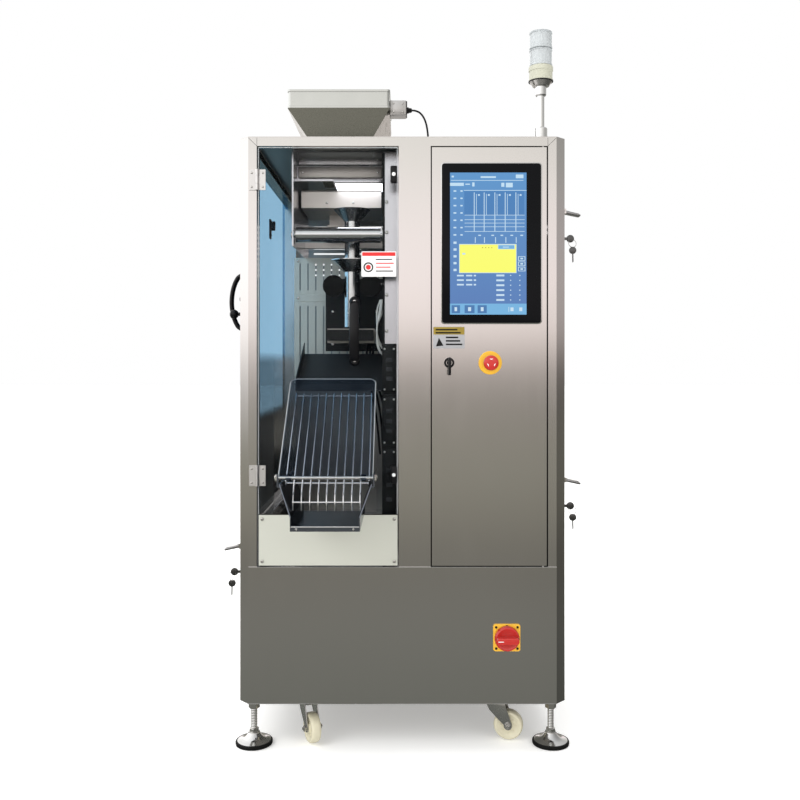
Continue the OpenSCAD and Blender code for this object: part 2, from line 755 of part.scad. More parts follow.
module jaw_rear() color("silver") jaw(rear_jaw_y) span(slot_x, [rear_jaw_y[0] - 1, rear_jaw_y[1] + 1], slot_z);
module cut_knife() color("whitesmoke") {
    span(knife_x, [rear_jaw_y[0] + 1, rear_jaw_y[1] + 24], knife_z);
    span([tube_x - 20, tube_x + 20], [rear_jaw_y[1] + 23, rear_jaw_y[1] + 31], [jaw_z + 6, jaw_z + jaw_h - 6]);
}

// Slide inside the bay that hands the bags to the chute
module inner_slide() color("silver") {
    slope = tan(25);
    y = [front_y + 44, front_y + 240];
    low = slide_top[1] + 8;
    high = low + (y[1] - y[0]) * slope;
    prism_x([chute_x - chute_w / 2 + 6, plate_x], [[y[0], low - 3], [y[1], high - 3], [y[1], high], [y[0], low]]);
    prism_x([chute_x - chute_w / 2 + 4, chute_x - chute_w / 2 + 6], [[y[0], low - 3], [y[1], high - 3], [y[1], high + 30], [y[0], low + 30]]);
}

// Plate with the drives and terminals in the control bay
module drive_modules() color("beige") {
    y = back_y - 120;
    span([bay_x[1] + sheet, control_x[1] - 10], [y, y + 3], [lower_z + 30, rail_z - 120]);
    for (row = [0 : 2])
        for (column = [0 : 2]) {
            x = control_x[0] + 24 + column * 84;
            z = lower_z + 80 + row * 270;
            span([x, x + 62], [y - 90, y], [z, z + 170]);
        }
}

// Clear door with a cut-out for the chute
module front_door() color("lightblue", 0.35) {
    half = chute_w / 2 + 3;
    difference() {
        span([bay_x[0] + door_gap, bay_x[1] - door_gap], [front_y, front_y + pane_t], door_z);
        span([chute_x - half, chute_x + half], [front_y - 1, front_y + pane_t + 1], [tray_z - seat_gap, cut_out_top]);
    }
}

module apron_sheet() color("lightgray") {
    span([bay_x[0] + door_gap + 2, bay_x[1] - door_gap], [front_y - sheet, front_y], [door_z[0] + 1, apron_z]);
}

// Bow handle: a grip on two stand-offs
grip_t = 14;
grip_w = 24;
front_handle_x = bay_x[1] - 107;
front_handle_z = rail_z - 537;
module front_door_handle() color("black") {
    z = [front_handle_z, front_handle_z + handle_len];
    y = front_y - handle_reach;
    span([front_handle_x - grip_w / 2, front_handle_x + grip_w / 2], [y, y + grip_t], z);
    for (end = [z[0] + 14, z[1] - 14])
        bar_y(front_handle_x, [y + grip_t - 1, front_y], end, 8);
}

// Open tray with flared sides, bolted behind the apron
module chute_tray() color("silver") {
    floor_half = tray_floor_w / 2;
    top_half = chute_w / 2;
    step = tray_z + 30;
    top = rod_z - 12;
    nose = front_y - chute_reach;
    difference() {
        translate([chute_x, 0, 0]) prism_y([nose, front_y + pane_t + 4], [
            [-top_half, top], [-floor_half, step], [-floor_half, tray_z], [floor_half, tray_z], [floor_half, step],
            [top_half, top], [top_half - sheet, top], [floor_half - sheet, step + 0.5], [floor_half - sheet, tray_z + sheet],
            [sheet - floor_half, tray_z + sheet], [sheet - floor_half, step + 0.5], [sheet - top_half, top]
        ]);
        prism_x([chute_x - chute_w, chute_x + chute_w],
            [[nose - 1, step], [nose, step], [rod_y - 12, top + 1], [nose - 1, top + 1]]);
    }
    // Ears outside the cover that hold the cross rod
    for (side = [0, 1])
        translate([chute_x, 0, 0]) mirror([side, 0, 0]) difference() {
            union() {
                span([ear_x, ear_x + 3], [rod_y - 9, rod_y + 9], [top - 8, rod_z + 9]);
                span([top_half - 4, ear_x + 3], [rod_y - 9, rod_y + 9], [top - 8, top - 4]);
            }
            bar_x([ear_x - 1, ear_x + 4], rod_y, rod_z, rod_r);
        }
    span([chute_x - floor_half, chute_x + floor_half], [nose, nose + sheet], [tray_z, tray_z + 9]);
    span([chute_x - 60, chute_x + 60], [front_y + pane_t, front_y + pane_t + 4], [tray_z - 26, tray_z + 1]);
}

// Points of a wire in Y and Z: down the slope, round a bend, and a short drop
slide_drop = 41;
slide_foot = [rod_y + slide_drop * sin(cover_angle), rod_z - slide_drop * cos(cover_angle)];
slide_run = (front_y + 30 - slide_foot[0]) / cos(cover_angle);
slide_top = slide_foot + slide_run * [cos(cover_angle), sin(cover_angle)];
wire_path = [slide_top, slide_foot, slide_foot + [-14, -26], slide_foot + [-13, -44]];
side_end = slide_foot + 14 * [cos(cover_angle), sin(cover_angle)];
function wire_side(i) =
    let (a = wire_path[max(i - 1, 0)], b = wire_path[min(i + 1, 3)], d = (b - a) / norm(b - a))
    [-d[1], d[0]] * wire_t / 2;
wire_half = chute_w / 2 - 9;
wire_pitch = 2 * wire_half / (wire_count - 1);
ear_x = chute_w / 2 + 2;

module chute_slide() color("whitesmoke") {
    outline = concat([for (i = [0 : 3]) wire_path[i] + wire_side(i)], [for (i = [3 : -1 : 0]) wire_path[i] - wire_side(i)]);
    for (i = [0 : wire_count - 1]) {
        // The two side wires end above the tray's flare
        x = chute_x - wire_half + i * wire_pitch;
        if (i > 0 && i < wire_count - 1)
            prism_x([x - wire_t / 2, x + wire_t / 2], outline);
        else
            prism_x([x - wire_t / 2, x + wire_t / 2],
                [wire_path[0] + wire_side(0), side_end + wire_side(0), side_end - wire_side(0), wire_path[0] - wire_side(0)]);
    }
    bar_half = wire_half + 3.6;
    for (place = [slide_top + [-4, -6], slide_foot + [18, 12]])
        bar_x([chute_x - bar_half, chute_x + bar_half], place[0], place[1], wire_t / 2 + 0.5);
    inner = wire_half - wire_pitch;
    bar_x([chute_x - inner, chute_x + inner], wire_path[2][0], wire_path[2][1], wire_t / 2);
    // Cross rod with its end nuts
    rod_half = ear_x + 9;
    bar_x([chute_x - rod_half, chute_x + rod_half], rod_y, rod_z, rod_r);
    for (side = [-1, 1])
        translate([chute_x + side * (ear_x + 5.5), 0, 0]) bar_x([-2.5, 2.5], rod_y, rod_z, 7);
}

// Clear cover on two knuckles round the cross rod
module chute_cover() color("lightblue", 0.35) {
    half = chute_w / 2 + 1;
    lift = rod_r + cover_lift;
    corner = 14;
    knuckle_x = chute_w / 2 - 20;
    translate([chute_x, rod_y, rod_z]) rotate([cover_angle, 0, 0]) {
        difference() {
            union() {
                span([-half, half], [-4, cover_len - corner], [lift, lift + cover_t]);
                span([corner - half, half - corner], [-4, cover_len], [lift, lift + cover_t]);
                for (side = [-1, 1])
                    bar_z(side * (half - corner), cover_len - corner, [lift, lift + cover_t], corner);
                for (side = [-1, 1])
                    bar_x([side * knuckle_x - 6, side * knuckle_x + 6], 0, 0, rod_r + 3);
                for (side = [-1, 1])
                    span([side * knuckle_x - 6, side * knuckle_x + 6], [-rod_r - 3, rod_r + 3], [0, lift + 1]);
            }
            bar_x([-half - 1, half + 1], 0, 0, rod_r + run_gap);
        }
    }
}

// Sheet door as a shallow tray, open at the back, with a pivot pin at its top and bottom
module pivot_pins(x, y, z) {
    bar_z(x, y, [z[0] - pin_len, z[0] + 1], pin_r);
    bar_z(x, y, [z[1] - 1, z[1] + pin_len], pin_r);
}

// Places on the control door
panel_x = control_x[0] + 27;
panel_z = rail_z - 43 - panel_h;
stop_x = control_x[0] + 145;
stop_z = rail_z - 529;
key_x = control_x[0] + 45;
stem_r = 8;
sleeve_r = 11;
plug_r = 6;

module control_door() color("silver") {
    x = [control_x[0] + door_gap, control_x[1] - door_gap];
    difference() {
        union() {
            difference() {
                span(x, [front_y, front_y + tray_depth], door_z);
                span([x[0] + sheet, x[1] - sheet], [front_y + sheet, front_y + tray_depth + 1],
                    [door_z[0] + sheet, door_z[1] - sheet]);
            }
            pivot_pins(x[1] - pin_inset, front_y + pin_depth, door_z);
            // Key lock's housing
            bar_y(key_x, [front_y - 4, front_y + 24], stop_z, plug_r + 8);
        }
        span([panel_x + 12, panel_x + panel_w - 12], [front_y - 1, front_y + sheet + 1], [panel_z + 12, panel_z + panel_h - 12]);
        bar_y(stop_x, [front_y - 1, front_y + sheet + 1], stop_z, sleeve_r + seat_gap);
        bar_y(key_x, [front_y - 5, front_y + 25], stop_z, plug_r + run_gap);
    }
}

module touch_panel() color("black") {
    span([panel_x, panel_x + panel_w], [front_y - 5, front_y], [panel_z, panel_z + panel_h]);
    span([panel_x + 13, panel_x + panel_w - 13], [front_y - 1, front_y + 46], [panel_z + 13, panel_z + panel_h - 13]);
}

module control_key() color("black") {
    bar_y(key_x, [front_y - 5, front_y + 28], stop_z, plug_r);
    span([key_x - 1.5, key_x + 1.5], [front_y - 14, front_y - 4], [stop_z - 5, stop_z + 5]);
    span([key_x - 2.5, key_x + 2.5], [front_y - 36, front_y - 13], [stop_z - 15, stop_z + 11]);
    span([key_x - 5, key_x + 5], [front_y + 27, front_y + 30], [stop_z - 22, stop_z + 5]);
}

module stop_ring() color("yellow") {
    difference() {
        union() {
            bar_y(stop_x, [front_y - 6, front_y], stop_z, stop_ring_r);
            bar_y(stop_x, [front_y - 1, front_y + 34], stop_z, sleeve_r);
        }
        bar_y(stop_x, [front_y - 7, front_y + 35], stop_z, stem_r + run_gap);
    }
}

module stop_head() color("red") {
    bar_y(stop_x, [front_y - 32, front_y - 6 - stop_travel - 1], stop_z, stop_head_r);
    bar_y(stop_x, [front_y - 13, front_y + 26], stop_z, stem_r);
}

// Clear pane with metal-sized blocks at its pivot corners
window_z = [left_split_z + rail_d / 2 + door_gap, rail_z - door_gap];
module left_window_door() color("deepskyblue", 0.4) {
    block = 16;
    span([left_x, left_x + pane_t], side_y, window_z);
    for (z = [window_z[0], window_z[1] - block])
        span([left_x, left_x + block], [side_y[1] - block, side_y[1]], [z, z + block]);
    pivot_pins(left_x + pin_depth, side_pin_y, window_z);
}

left_handle_y = front_y + 115;
left_handle_z = rail_z - 459;
module left_handle() color("black") {
    z = [left_handle_z, left_handle_z + handle_len];
    x = left_x - handle_reach - 4;
    span([x, x + grip_t], [left_handle_y - 10, left_handle_y + 10], z);
    for (end = [z[0] + 10, z[1] - 10])
        bar_x([x + grip_t - 1, left_x], left_handle_y, end, 8);
}

// Flip-out latch on the right side: a case with two ears, and a lock below the lever
case_t = 4;
case_h = 118;
lever_t = 8;
module latch_case(z) {
    half = lever_w / 2;
    span([right_x - 1, right_x + case_t], [latch_y - half - 6, latch_y + half + 6], [z + 6 - case_h, z + 6]);
    for (y = [[latch_y - half - 5, latch_y - half - seat_gap], [latch_y + half + seat_gap, latch_y + half + 5]])
        difference() {
            span([right_x, right_x + case_t + 11], y, [z - 6, z + 6]);
            bar_y(right_x + case_t + 5, [y[0] - 1, y[1] + 1], z, lever_pin_r + run_gap);
        }
    bar_x([right_x + 1, right_x + case_t + 6], latch_y, z - 68, 10);
}

// Lever in its resting place, standing out and tilted down a little
lever_tilt = 12;
module latch_lever(z) {
    half = lever_w / 2;
    translate([right_x + case_t + 5, latch_y, z]) rotate([0, lever_tilt, 0]) {
        span([0, lever_len - 10], [-half, half], [-lever_t / 2, lever_t / 2]);
        bar_y(0, [-half, half], 0, lever_t / 2);
        bar_y(0, [-half - 5, half + 5], 0, lever_pin_r);
    }
}

module side_tray(z) {
    difference() {
        span([right_x - tray_depth, right_x], side_y, z);
        span([right_x - tray_depth - 1, right_x - sheet], [side_y[0] + sheet, side_y[1] - sheet], [z[0] + sheet, z[1] - sheet]);
    }
    pivot_pins(right_x - pin_depth, side_pin_y, z);
}

left_lower_z = [base_z + rail_d + door_gap, left_split_z - rail_d / 2 - door_gap];
module left_lower_door() color("silver") mirror([1, 0, 0]) {
    side_tray(left_lower_z);
    latch_case(latch_left_z);
}
module right_door() color("silver") {
    side_tray(door_z);
    latch_case(latch_upper_z);
    latch_case(latch_lower_z);
}
module lever_left() color("silver") mirror([1, 0, 0]) latch_lever(latch_left_z);
module lever_right_upper() color("silver") latch_lever(latch_upper_z);
module lever_right_lower() color("silver") latch_lever(latch_lower_z);

cabinet_frame();
roof_sheet();
back_sheet();
lower_front_sheet();
bay_partition();
slatted_guard();
front_hinge_leaves();
hopper();
level_sensor();
sensor_cable();
stack_pole();
stack_base();
stack_tiers();
switch_plate();
castor_plates();
feeder_frame();
feeder_pan();
forming_set();
machine_frame();
inner_slide();
drive_modules();
film_roller();
pull_wheel_left();
pull_wheel_right();
vertical_seal();
jaw_front();
jaw_rear();
cut_knife();
front_door();
front_door_leaves();
front_door_handle();
apron_sheet();
chute_tray();
chute_slide();
chute_cover();
control_door();
touch_panel();
control_key();
stop_ring();
stop_head();
switch_knob();
left_window_door();
left_handle();
left_lower_door();
right_door();
lever_left();
lever_right_upper();
lever_right_lower();
foot_front_left();
foot_front_right();
foot_rear_left();
foot_rear_right();
castor_fork_front_left();
castor_fork_front_right();
castor_fork_rear_left();
castor_fork_rear_right();
castor_wheel_front_left();
castor_wheel_front_right();
castor_wheel_rear_left();
castor_wheel_rear_right();
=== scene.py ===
"""Looks of a vertical form fill sealer, built around its CAD frame. Metres, +Z up, the front faces -Y."""

import json
import math

import bmesh
import bpy
from mathutils import Matrix, Vector


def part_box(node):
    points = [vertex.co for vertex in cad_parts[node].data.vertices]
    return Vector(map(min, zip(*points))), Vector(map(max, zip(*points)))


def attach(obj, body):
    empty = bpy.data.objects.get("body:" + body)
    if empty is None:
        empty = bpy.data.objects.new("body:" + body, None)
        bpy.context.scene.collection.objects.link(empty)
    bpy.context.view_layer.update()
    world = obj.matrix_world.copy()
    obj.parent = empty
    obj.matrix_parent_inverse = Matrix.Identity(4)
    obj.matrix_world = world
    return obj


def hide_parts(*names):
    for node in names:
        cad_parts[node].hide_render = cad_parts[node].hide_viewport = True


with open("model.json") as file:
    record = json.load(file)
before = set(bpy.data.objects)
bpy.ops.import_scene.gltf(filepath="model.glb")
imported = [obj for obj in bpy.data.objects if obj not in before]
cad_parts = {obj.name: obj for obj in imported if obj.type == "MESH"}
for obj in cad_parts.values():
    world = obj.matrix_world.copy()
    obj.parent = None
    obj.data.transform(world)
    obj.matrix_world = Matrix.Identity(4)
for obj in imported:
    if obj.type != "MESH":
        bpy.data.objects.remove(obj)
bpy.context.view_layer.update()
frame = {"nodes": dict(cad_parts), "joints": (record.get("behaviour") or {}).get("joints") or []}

bl_info = {
    "name": "Form Fill Sealer",
    "version": (1, 0, 0),
    "blender": (4, 5, 0),
    "location": "3D View > Sidebar > Sealer",
    "description": "Detailed pieces, finishes and studio for a vertical form fill sealer",
    "category": "Add Mesh",
}

# Places that several pieces share, taken from the CAD frame
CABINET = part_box("cabinet_frame")
LEFT, RIGHT = CABINET[0][0], CABINET[1][0]
FRONT = CABINET[0][1]
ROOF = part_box("roof_sheet")[1][2]
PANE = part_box("front_door")
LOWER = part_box("lower_front_sheet")
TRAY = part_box("chute_tray")
CORNERS = ("front_left", "front_right", "rear_left", "rear_right")
CASTOR_ANGLES = dict(zip(CORNERS, (-65, -12, -35, -150)))


# ---------------------------------------------------------------- shader helpers

class Field:
    """A socket of a finish, with arithmetic that adds Math nodes."""

    def __init__(self, tree, socket):
        self.tree = tree
        self.socket = socket

    def math(self, operation, first, second, clamp=False):
        node = self.tree.nodes.new("ShaderNodeMath")
        node.operation = operation
        node.use_clamp = clamp
        for slot, value in zip(node.inputs, (first, second)):
            if isinstance(value, Field):
                self.tree.links.new(value.socket, slot)
            else:
                slot.default_value = value
        return Field(self.tree, node.outputs[0])

    def __add__(self, other):
        return self.math("ADD", self, other)

    def __radd__(self, other):
        return self.math("ADD", other, self)

    def __sub__(self, other):
        return self.math("SUBTRACT", self, other)

    def __rsub__(self, other):
        return self.math("SUBTRACT", other, self)

    def __mul__(self, other):
        return self.math("MULTIPLY", self, other)

    def __rmul__(self, other):
        return self.math("MULTIPLY", other, self)

    def above(self, level, softness):
        """0 below level, 1 above it, with a soft step between."""
        return self.math("MULTIPLY", self - (level - softness / 2), 1 / softness, clamp=True)


class Finish:
    """A procedural material under construction."""

    def __init__(self, name):
        self.name = name
        self.material = bpy.data.materials.new(name)
        self.material.use_nodes = True
        self.tree = self.material.node_tree
        self.tree.nodes.clear()
        self.place = self.add("TexCoord", output="Object")

    def add(self, kind, settings=None, output=0, **sockets):
        """Adds one node: its settings first, then a value or a link for each named socket."""
        node = self.tree.nodes.new("ShaderNode" + kind)
        for key, value in (settings or {}).items():
            if key == "stops":
                stops = node.color_ramp.elements
                for index, (position, colour) in enumerate(value):
                    stop = stops[index] if index < 2 else stops.new(position)
                    stop.position = position
                    stop.color = colour
            else:
                setattr(node, key, value)
        for key, value in sockets.items():
            slot = node.inputs[int(key[1:])] if key[1:].isdigit() else node.inputs[key.replace("_", " ")]
            if isinstance(value, Field):
                self.tree.links.new(value.socket, slot)
            else:
                slot.default_value = value
        return Field(self.tree, node.outputs[output])

    def mix(self, factor, first, second):
        return self.add("Mix", {"data_type": "RGBA"}, output=2, _0=factor, _6=first, _7=second)

    def noise(self, scale, detail=3.0, stretch=(1, 1, 1), roughness=0.5):
        """Noise with the given number of features in a metre, stretched along the axes."""
        place = self.add("Mapping", Vector=self.place, Scale=stretch)
        return self.add("TexNoise", Vector=place, Scale=scale, Detail=detail, Roughness=roughness)

    def height(self):
        return self.add("SeparateXYZ", output=2, Vector=self.place)

    def bump(self, field, strength, distance):
        return self.add("Bump", Height=field, Strength=strength, Distance=distance)

    def close(self, shader):
        out = self.tree.nodes.new("ShaderNodeOutputMaterial")
        self.tree.links.new(shader.socket, out.inputs["Surface"])
        FINISHES[self.name] = self.material
        return self.material


FINISHES = {}
ALONG = {"x": (0.02, 1, 1), "y": (1, 0.02, 1), "z": (1, 1, 0.02)}


def tone(colour, gain):
    return tuple(min(1.0, channel * gain) for channel in colour[:3]) + (1.0,)


def brushed(name, colour, rough, grain="z", depth=0.05, blotch=0.025, dust_and_shade=0.0):
    """Metal with a fine one-way grain, slow changes of shade, faint smears and painted shade near the floor."""
    f = Finish(name)
    fine = f.noise(900, 2, ALONG[grain])
    wide = f.noise(140, 3, ALONG[grain])
    cloud = f.noise(3.2, 4)
    smear = f.noise(14, 5, (1, 1, 0.5)).above(0.62, 0.14)
    shade = cloud * 0.6 + wide * 0.4
    base = f.mix(shade, tone(colour, 1 - blotch), tone(colour, 1 + blotch))
    if dust_and_shade:
        # painted shade: below 0.35 m the steel is mixed, in noisy patches, towards a warm dark grey that deepens
        # towards the floor
        low = (0.35 - f.height()) * 2.2
        dust_and_shade_veil = f.noise(60, 4) * low * dust_and_shade
        base = f.mix(dust_and_shade_veil, base, (0.36, 0.33, 0.29, 1))
    roughness = rough - 0.03 + fine * 0.03 + wide * 0.02 + smear * 0.015
    shader = f.add("BsdfPrincipled", Base_Color=base, Roughness=roughness, Metallic=1.0,
                   Normal=f.bump(fine * 0.6 + wide * 0.4, depth, 0.0004))
    return f.close(shader)


def satin(name, colour, rough):
    """Pale satin sheet: half metal, half a matt film, so that it stays light in a dim room."""
    f = Finish(name)
    fine = f.noise(900, 2, ALONG["x"])
    cloud = f.noise(4, 4)
    base = f.mix(cloud, tone(colour, 0.97), tone(colour, 1.03))
    shader = f.add("BsdfPrincipled", Base_Color=base, Roughness=rough + fine * 0.05,
                   Metallic=0.25 + cloud * 0.1,
                   Normal=f.bump(fine, 0.04, 0.0003))
    return f.close(shader)


def plated(name, colour, rough, blotch=0.05, depth=0.03):
    """Bright plated or polished metal with faint waves, haze and handling marks."""
    f = Finish(name)
    cloud = f.noise(22, 4)
    scratch = f.noise(260, 2, (1, 0.06, 1)).above(0.66, 0.1)
    base = f.mix(cloud, tone(colour, 1 - blotch), tone(colour, 1 + blotch))
    roughness = rough + cloud * 0.08 + scratch * 0.1
    shader = f.add("BsdfPrincipled", Base_Color=base, Roughness=roughness, Metallic=1.0,
                   Normal=f.bump(f.noise(9, 2) + scratch * 0.05, depth, 0.002))
    return f.close(shader)


def moulded(name, colour, rough, grain=500, depth=0.12, coat=0.0, dust_and_shade=0.1, shine=0.5):
    """Moulded plastic or rubber: a fine eroded texture, uneven gloss and a little dust."""
    f = Finish(name)
    fine = f.noise(grain, 3)
    cloud = f.noise(18, 4)
    base = f.mix(cloud, tone(colour, 0.88), tone(colour, 1.12))
    dust_and_shade_veil = f.noise(70, 5).above(0.6, 0.3) * dust_and_shade
    base = f.mix(dust_and_shade_veil, base, tuple(channel * 0.75 + 0.04 for channel in colour[:3]) + (1,))
    shader = f.add("BsdfPrincipled", Base_Color=base, Roughness=rough - 0.06 + cloud * 0.1 + fine * 0.05,
                   Specular_IOR_Level=shine, Coat_Weight=coat, Coat_Roughness=0.08,
                   Normal=f.bump(fine, depth, 0.0003))
    return f.close(shader)


def clear(name, tint, mirror=0.05, haze=0.02, rough=0.03, body=(0.02, 0.025, 0.03, 1), grazing=0.8, steps=()):
    """Clear acrylic: light goes straight through with a tint, and a Fresnel share is mirrored with a faint haze.

    Each step is a height below which the pane lets less light through, and how much less: painted shade, darker
    towards the bottom.
    """
    f = Finish(name)
    marks = f.noise(30, 5, (1, 1, 0.3)).above(0.6, 0.25)
    through = f.add("BsdfTransparent", Color=tint)
    face = f.add("BsdfPrincipled", Base_Color=body, Roughness=rough + marks * 0.12, Metallic=0.0,
                 IOR=1.49)
    share = f.add("Fresnel", IOR=1.35) * grazing + (mirror + haze * marks)
    # painted shade: below each height more of the dark face is mixed in, so the pane darkens downwards
    for level, shade_weight in steps:
        share = share + (level - f.height()).above(0.0, 0.03) * shade_weight
    return f.close(f.add("MixShader", _0=share, _1=through, _2=face))


def glowing(name, low_colour, high_colour, strength, low, high):
    """A lit surface whose colour runs between two heights, with the faint unevenness of a backlight."""
    f = Finish(name)
    run = (f.height() - low) * (1 / (high - low))
    cloud = f.noise(12, 2)
    light = f.mix(run.math("ADD", run, cloud * 0.1 - 0.05, clamp=True), low_colour, high_colour)
    shader = f.add("BsdfPrincipled", Base_Color=(0.01, 0.012, 0.015, 1), Roughness=0.25 + cloud * 0.05,
                   Specular_IOR_Level=0.15,
                   Emission_Color=light, Emission_Strength=strength)
    return f.close(shader)


# ---------------------------------------------------------------- modelling helpers

def deselect():
    if bpy.context.object and bpy.context.object.mode != "OBJECT":
        bpy.ops.object.mode_set(mode="OBJECT")
    bpy.ops.object.select_all(action="DESELECT")


def only(obj):
    deselect()
    obj.select_set(True)
    bpy.context.view_layer.objects.active = obj


def settle(obj, name=None):
    """Applies place, turn and size, so that the object sits at the origin."""
    only(obj)
    bpy.ops.object.transform_apply(location=True, rotation=True, scale=True)
    if name:
        obj.name = name
        obj.data.name = name
    return obj


def edit(obj, kind="FACE"):
    only(obj)
    bpy.ops.object.mode_set(mode="EDIT")
    bpy.ops.mesh.select_mode(type=kind)
    bpy.ops.mesh.select_all(action="DESELECT")
    return bmesh.from_edit_mesh(obj.data)


def pick_faces(obj, test):
    """Selects the faces whose centre and normal pass the test, in edit mode."""
    mesh = edit(obj)
    for face in mesh.faces:
        face.select_set(bool(test(face.calc_center_median(), face.normal)))
    bmesh.update_edit_mesh(obj.data)


def edit_all(obj):
    edit(obj)
    bpy.ops.mesh.select_all(action="SELECT")


def leave():
    bpy.ops.object.mode_set(mode="OBJECT")


def discard(parts):
    """Deletes parts that were only patterns for copies."""
    deselect()
    for part in parts:
        part.select_set(True)
    bpy.ops.object.delete()


def modify(obj, kind, **settings):
    only(obj)
    modifier = obj.modifiers.new(kind.title(), kind)
    for key, value in settings.items():
        setattr(modifier, key, value)
    bpy.ops.object.modifier_apply(modifier=modifier.name)
    return obj


def soften(obj, width, segments=2, angle=35):
    """Rounds the sharp edges, then smooths what lies between them."""
    if width:
        modify(obj, "BEVEL", width=width, segments=segments, limit_method="ANGLE",
               angle_limit=math.radians(angle),
               use_clamp_overlap=True)
    return smooth(obj, angle)


def smooth(obj, angle=35):
    only(obj)
    bpy.ops.object.shade_smooth_by_angle(angle=math.radians(angle))
    return obj


def outward(obj):
    edit_all(obj)
    bpy.ops.mesh.remove_doubles(threshold=0.00001)
    bpy.ops.mesh.normals_make_consistent(inside=False)
    leave()
    return obj


def block(low, high, bevel=0.001, segments=2, paint=None):
    """A box between two corners with rounded edges."""
    deselect()
    low, high = Vector(low), Vector(high)
    bpy.ops.mesh.primitive_cube_add(size=1, location=(low + high) / 2)
    obj = bpy.context.object
    obj.scale = high - low
    settle(obj)
    soften(obj, bevel, segments)
    return painted(obj, paint)


def turn_to(direction):
    return Vector(direction).normalized().to_track_quat("Z", "Y").to_matrix().to_4x4()


def turned(profile, origin=(0, 0, 0), direction=(0, 0, 1), sides=40, angle=30, paint=None):
    """A turned solid: a disc is extruded and scaled from one (radius, height) to the next."""
    deselect()
    radius, height = profile[0]
    bpy.ops.mesh.primitive_circle_add(vertices=sides, radius=radius, fill_type="NGON",
                                      location=(0, 0, height))
    obj = settle(bpy.context.object)
    edit_all(obj)
    for new_radius, new_height in profile[1:]:
        bpy.ops.mesh.extrude_region_move(TRANSFORM_OT_translate={"value": (0, 0, new_height - height)})
        scale = new_radius / radius
        if abs(scale - 1) > 1e-6:
            bpy.ops.transform.resize(value=(scale, scale, 1), center_override=(0, 0, 0))
        radius, height = new_radius, new_height
    leave()
    outward(obj)
    obj.matrix_world = Matrix.Translation(origin) @ turn_to(direction)
    settle(obj)
    smooth(obj, angle)
    return painted(obj, paint)


def rod(start, end, radius, sides=24, bevel=0.0006, paint=None):
    """A round bar with chamfered ends."""
    length = (Vector(end) - Vector(start)).length
    profile = [(radius - bevel, 0), (radius, bevel), (radius, length - bevel), (radius - bevel, length)]
    return turned(profile, start, Vector(end) - Vector(start), sides, paint=paint)


def plate(outline, axis, low, high, bevel=0.0005, segments=2, paint=None):
    """A flat plate: a disc with one corner for each point of the outline, pulled to its thickness."""
    deselect()
    bpy.ops.mesh.primitive_circle_add(vertices=len(outline), radius=1, fill_type="NGON")
    obj = bpy.context.object
    order = {"x": lambda a, b: (low, a, b), "y": lambda a, b: (a, low, b), "z": lambda a,
             b: (a, b, low)}[axis]
    for vertex, point in zip(obj.data.vertices, outline):
        vertex.co = order(*point)
    shift = {"x": (high - low, 0, 0), "y": (0, high - low, 0), "z": (0, 0, high - low)}[axis]
    edit_all(obj)
    bpy.ops.mesh.extrude_region_move(TRANSFORM_OT_translate={"value": shift})
    leave()
    outward(obj)
    soften(obj, bevel, segments)
    return painted(obj, paint)


def rounded(low, high, radius, steps=5):
    """The outline of a rectangle with rounded corners."""
    points = []
    for cx, cy, start in ((high[0] - radius, high[1] - radius, 0), (low[0] + radius, high[1] - radius, 90),
                          (low[0] + radius, low[1] + radius, 180), (high[0] - radius, low[1] + radius, 270)):
        for step in range(steps + 1):
            angle = math.radians(start + 90 * step / steps)
            points.append((cx + radius * math.cos(angle), cy + radius * math.sin(angle)))
    return points


def tube(points, radius, resolution=3, paint=None, smooth_path=True):
    """A round bar along a path, made as a curve and turned into a mesh."""
    curve = bpy.data.curves.new("path", "CURVE")
    curve.dimensions = "3D"
    curve.bevel_depth = radius
    curve.bevel_resolution = resolution
    curve.resolution_u = 6
    curve.use_fill_caps = True
    if smooth_path:
        spline = curve.splines.new("BEZIER")
        spline.bezier_points.add(len(points) - 1)
        for knot, point in zip(spline.bezier_points, points):
            knot.co = point
            knot.handle_left_type = knot.handle_right_type = "AUTO"
    else:
        spline = curve.splines.new("POLY")
        spline.points.add(len(points) - 1)
        for knot, point in zip(spline.points, points):
            knot.co = (*point, 1)
    obj = bpy.data.objects.new("path", curve)
    bpy.context.scene.collection.objects.link(obj)
    only(obj)
    bpy.ops.object.convert(target="MESH")
    obj = bpy.context.object
    outward(obj)
    smooth(obj, 50)
    return painted(obj, paint)


def painted(obj, paint):
    if paint:
        obj.data.materials.clear()
        obj.data.materials.append(FINISHES[paint])
    return obj


def copied(obj, matrix):
    twin = obj.copy()
    twin.data = obj.data.copy()
    bpy.context.scene.collection.objects.link(twin)
    twin.matrix_world = matrix
    settle(twin)
    if matrix.determinant() < 0:
        only(twin)
        bpy.ops.object.mode_set(mode="EDIT")
        bpy.ops.mesh.select_all(action="SELECT")
        bpy.ops.mesh.normals_make_consistent(inside=False)
        leave()
    return twin


def joined(parts, name, body, replaces=()):
    """Joins the parts into one piece that rides on a body, and hides the CAD nodes that it replaces."""
    deselect()
    for part in parts:
        part.select_set(True)
    bpy.context.view_layer.objects.active = parts[0]
    if len(parts) > 1:
        bpy.ops.object.join()
    piece = bpy.context.view_layer.objects.active
    settle(piece, name)
    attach(piece, body)
    if replaces:
        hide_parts(*replaces)
    return piece


def screw(place, direction, radius=0.004, paint="screw_steel", socket=True):
    """A domed screw head with a hex recess."""
    r = radius
    profile = [(r, 0), (r, r * 0.35), (r * 0.85, r * 0.62), (r * 0.5, r * 0.75)]
    if socket:
        profile += [(r * 0.46, r * 0.75), (r * 0.42, r * 0.35)]
    return turned(profile, place, direction, 18, paint=paint)


# ---------------------------------------------------------------- sizes and colours

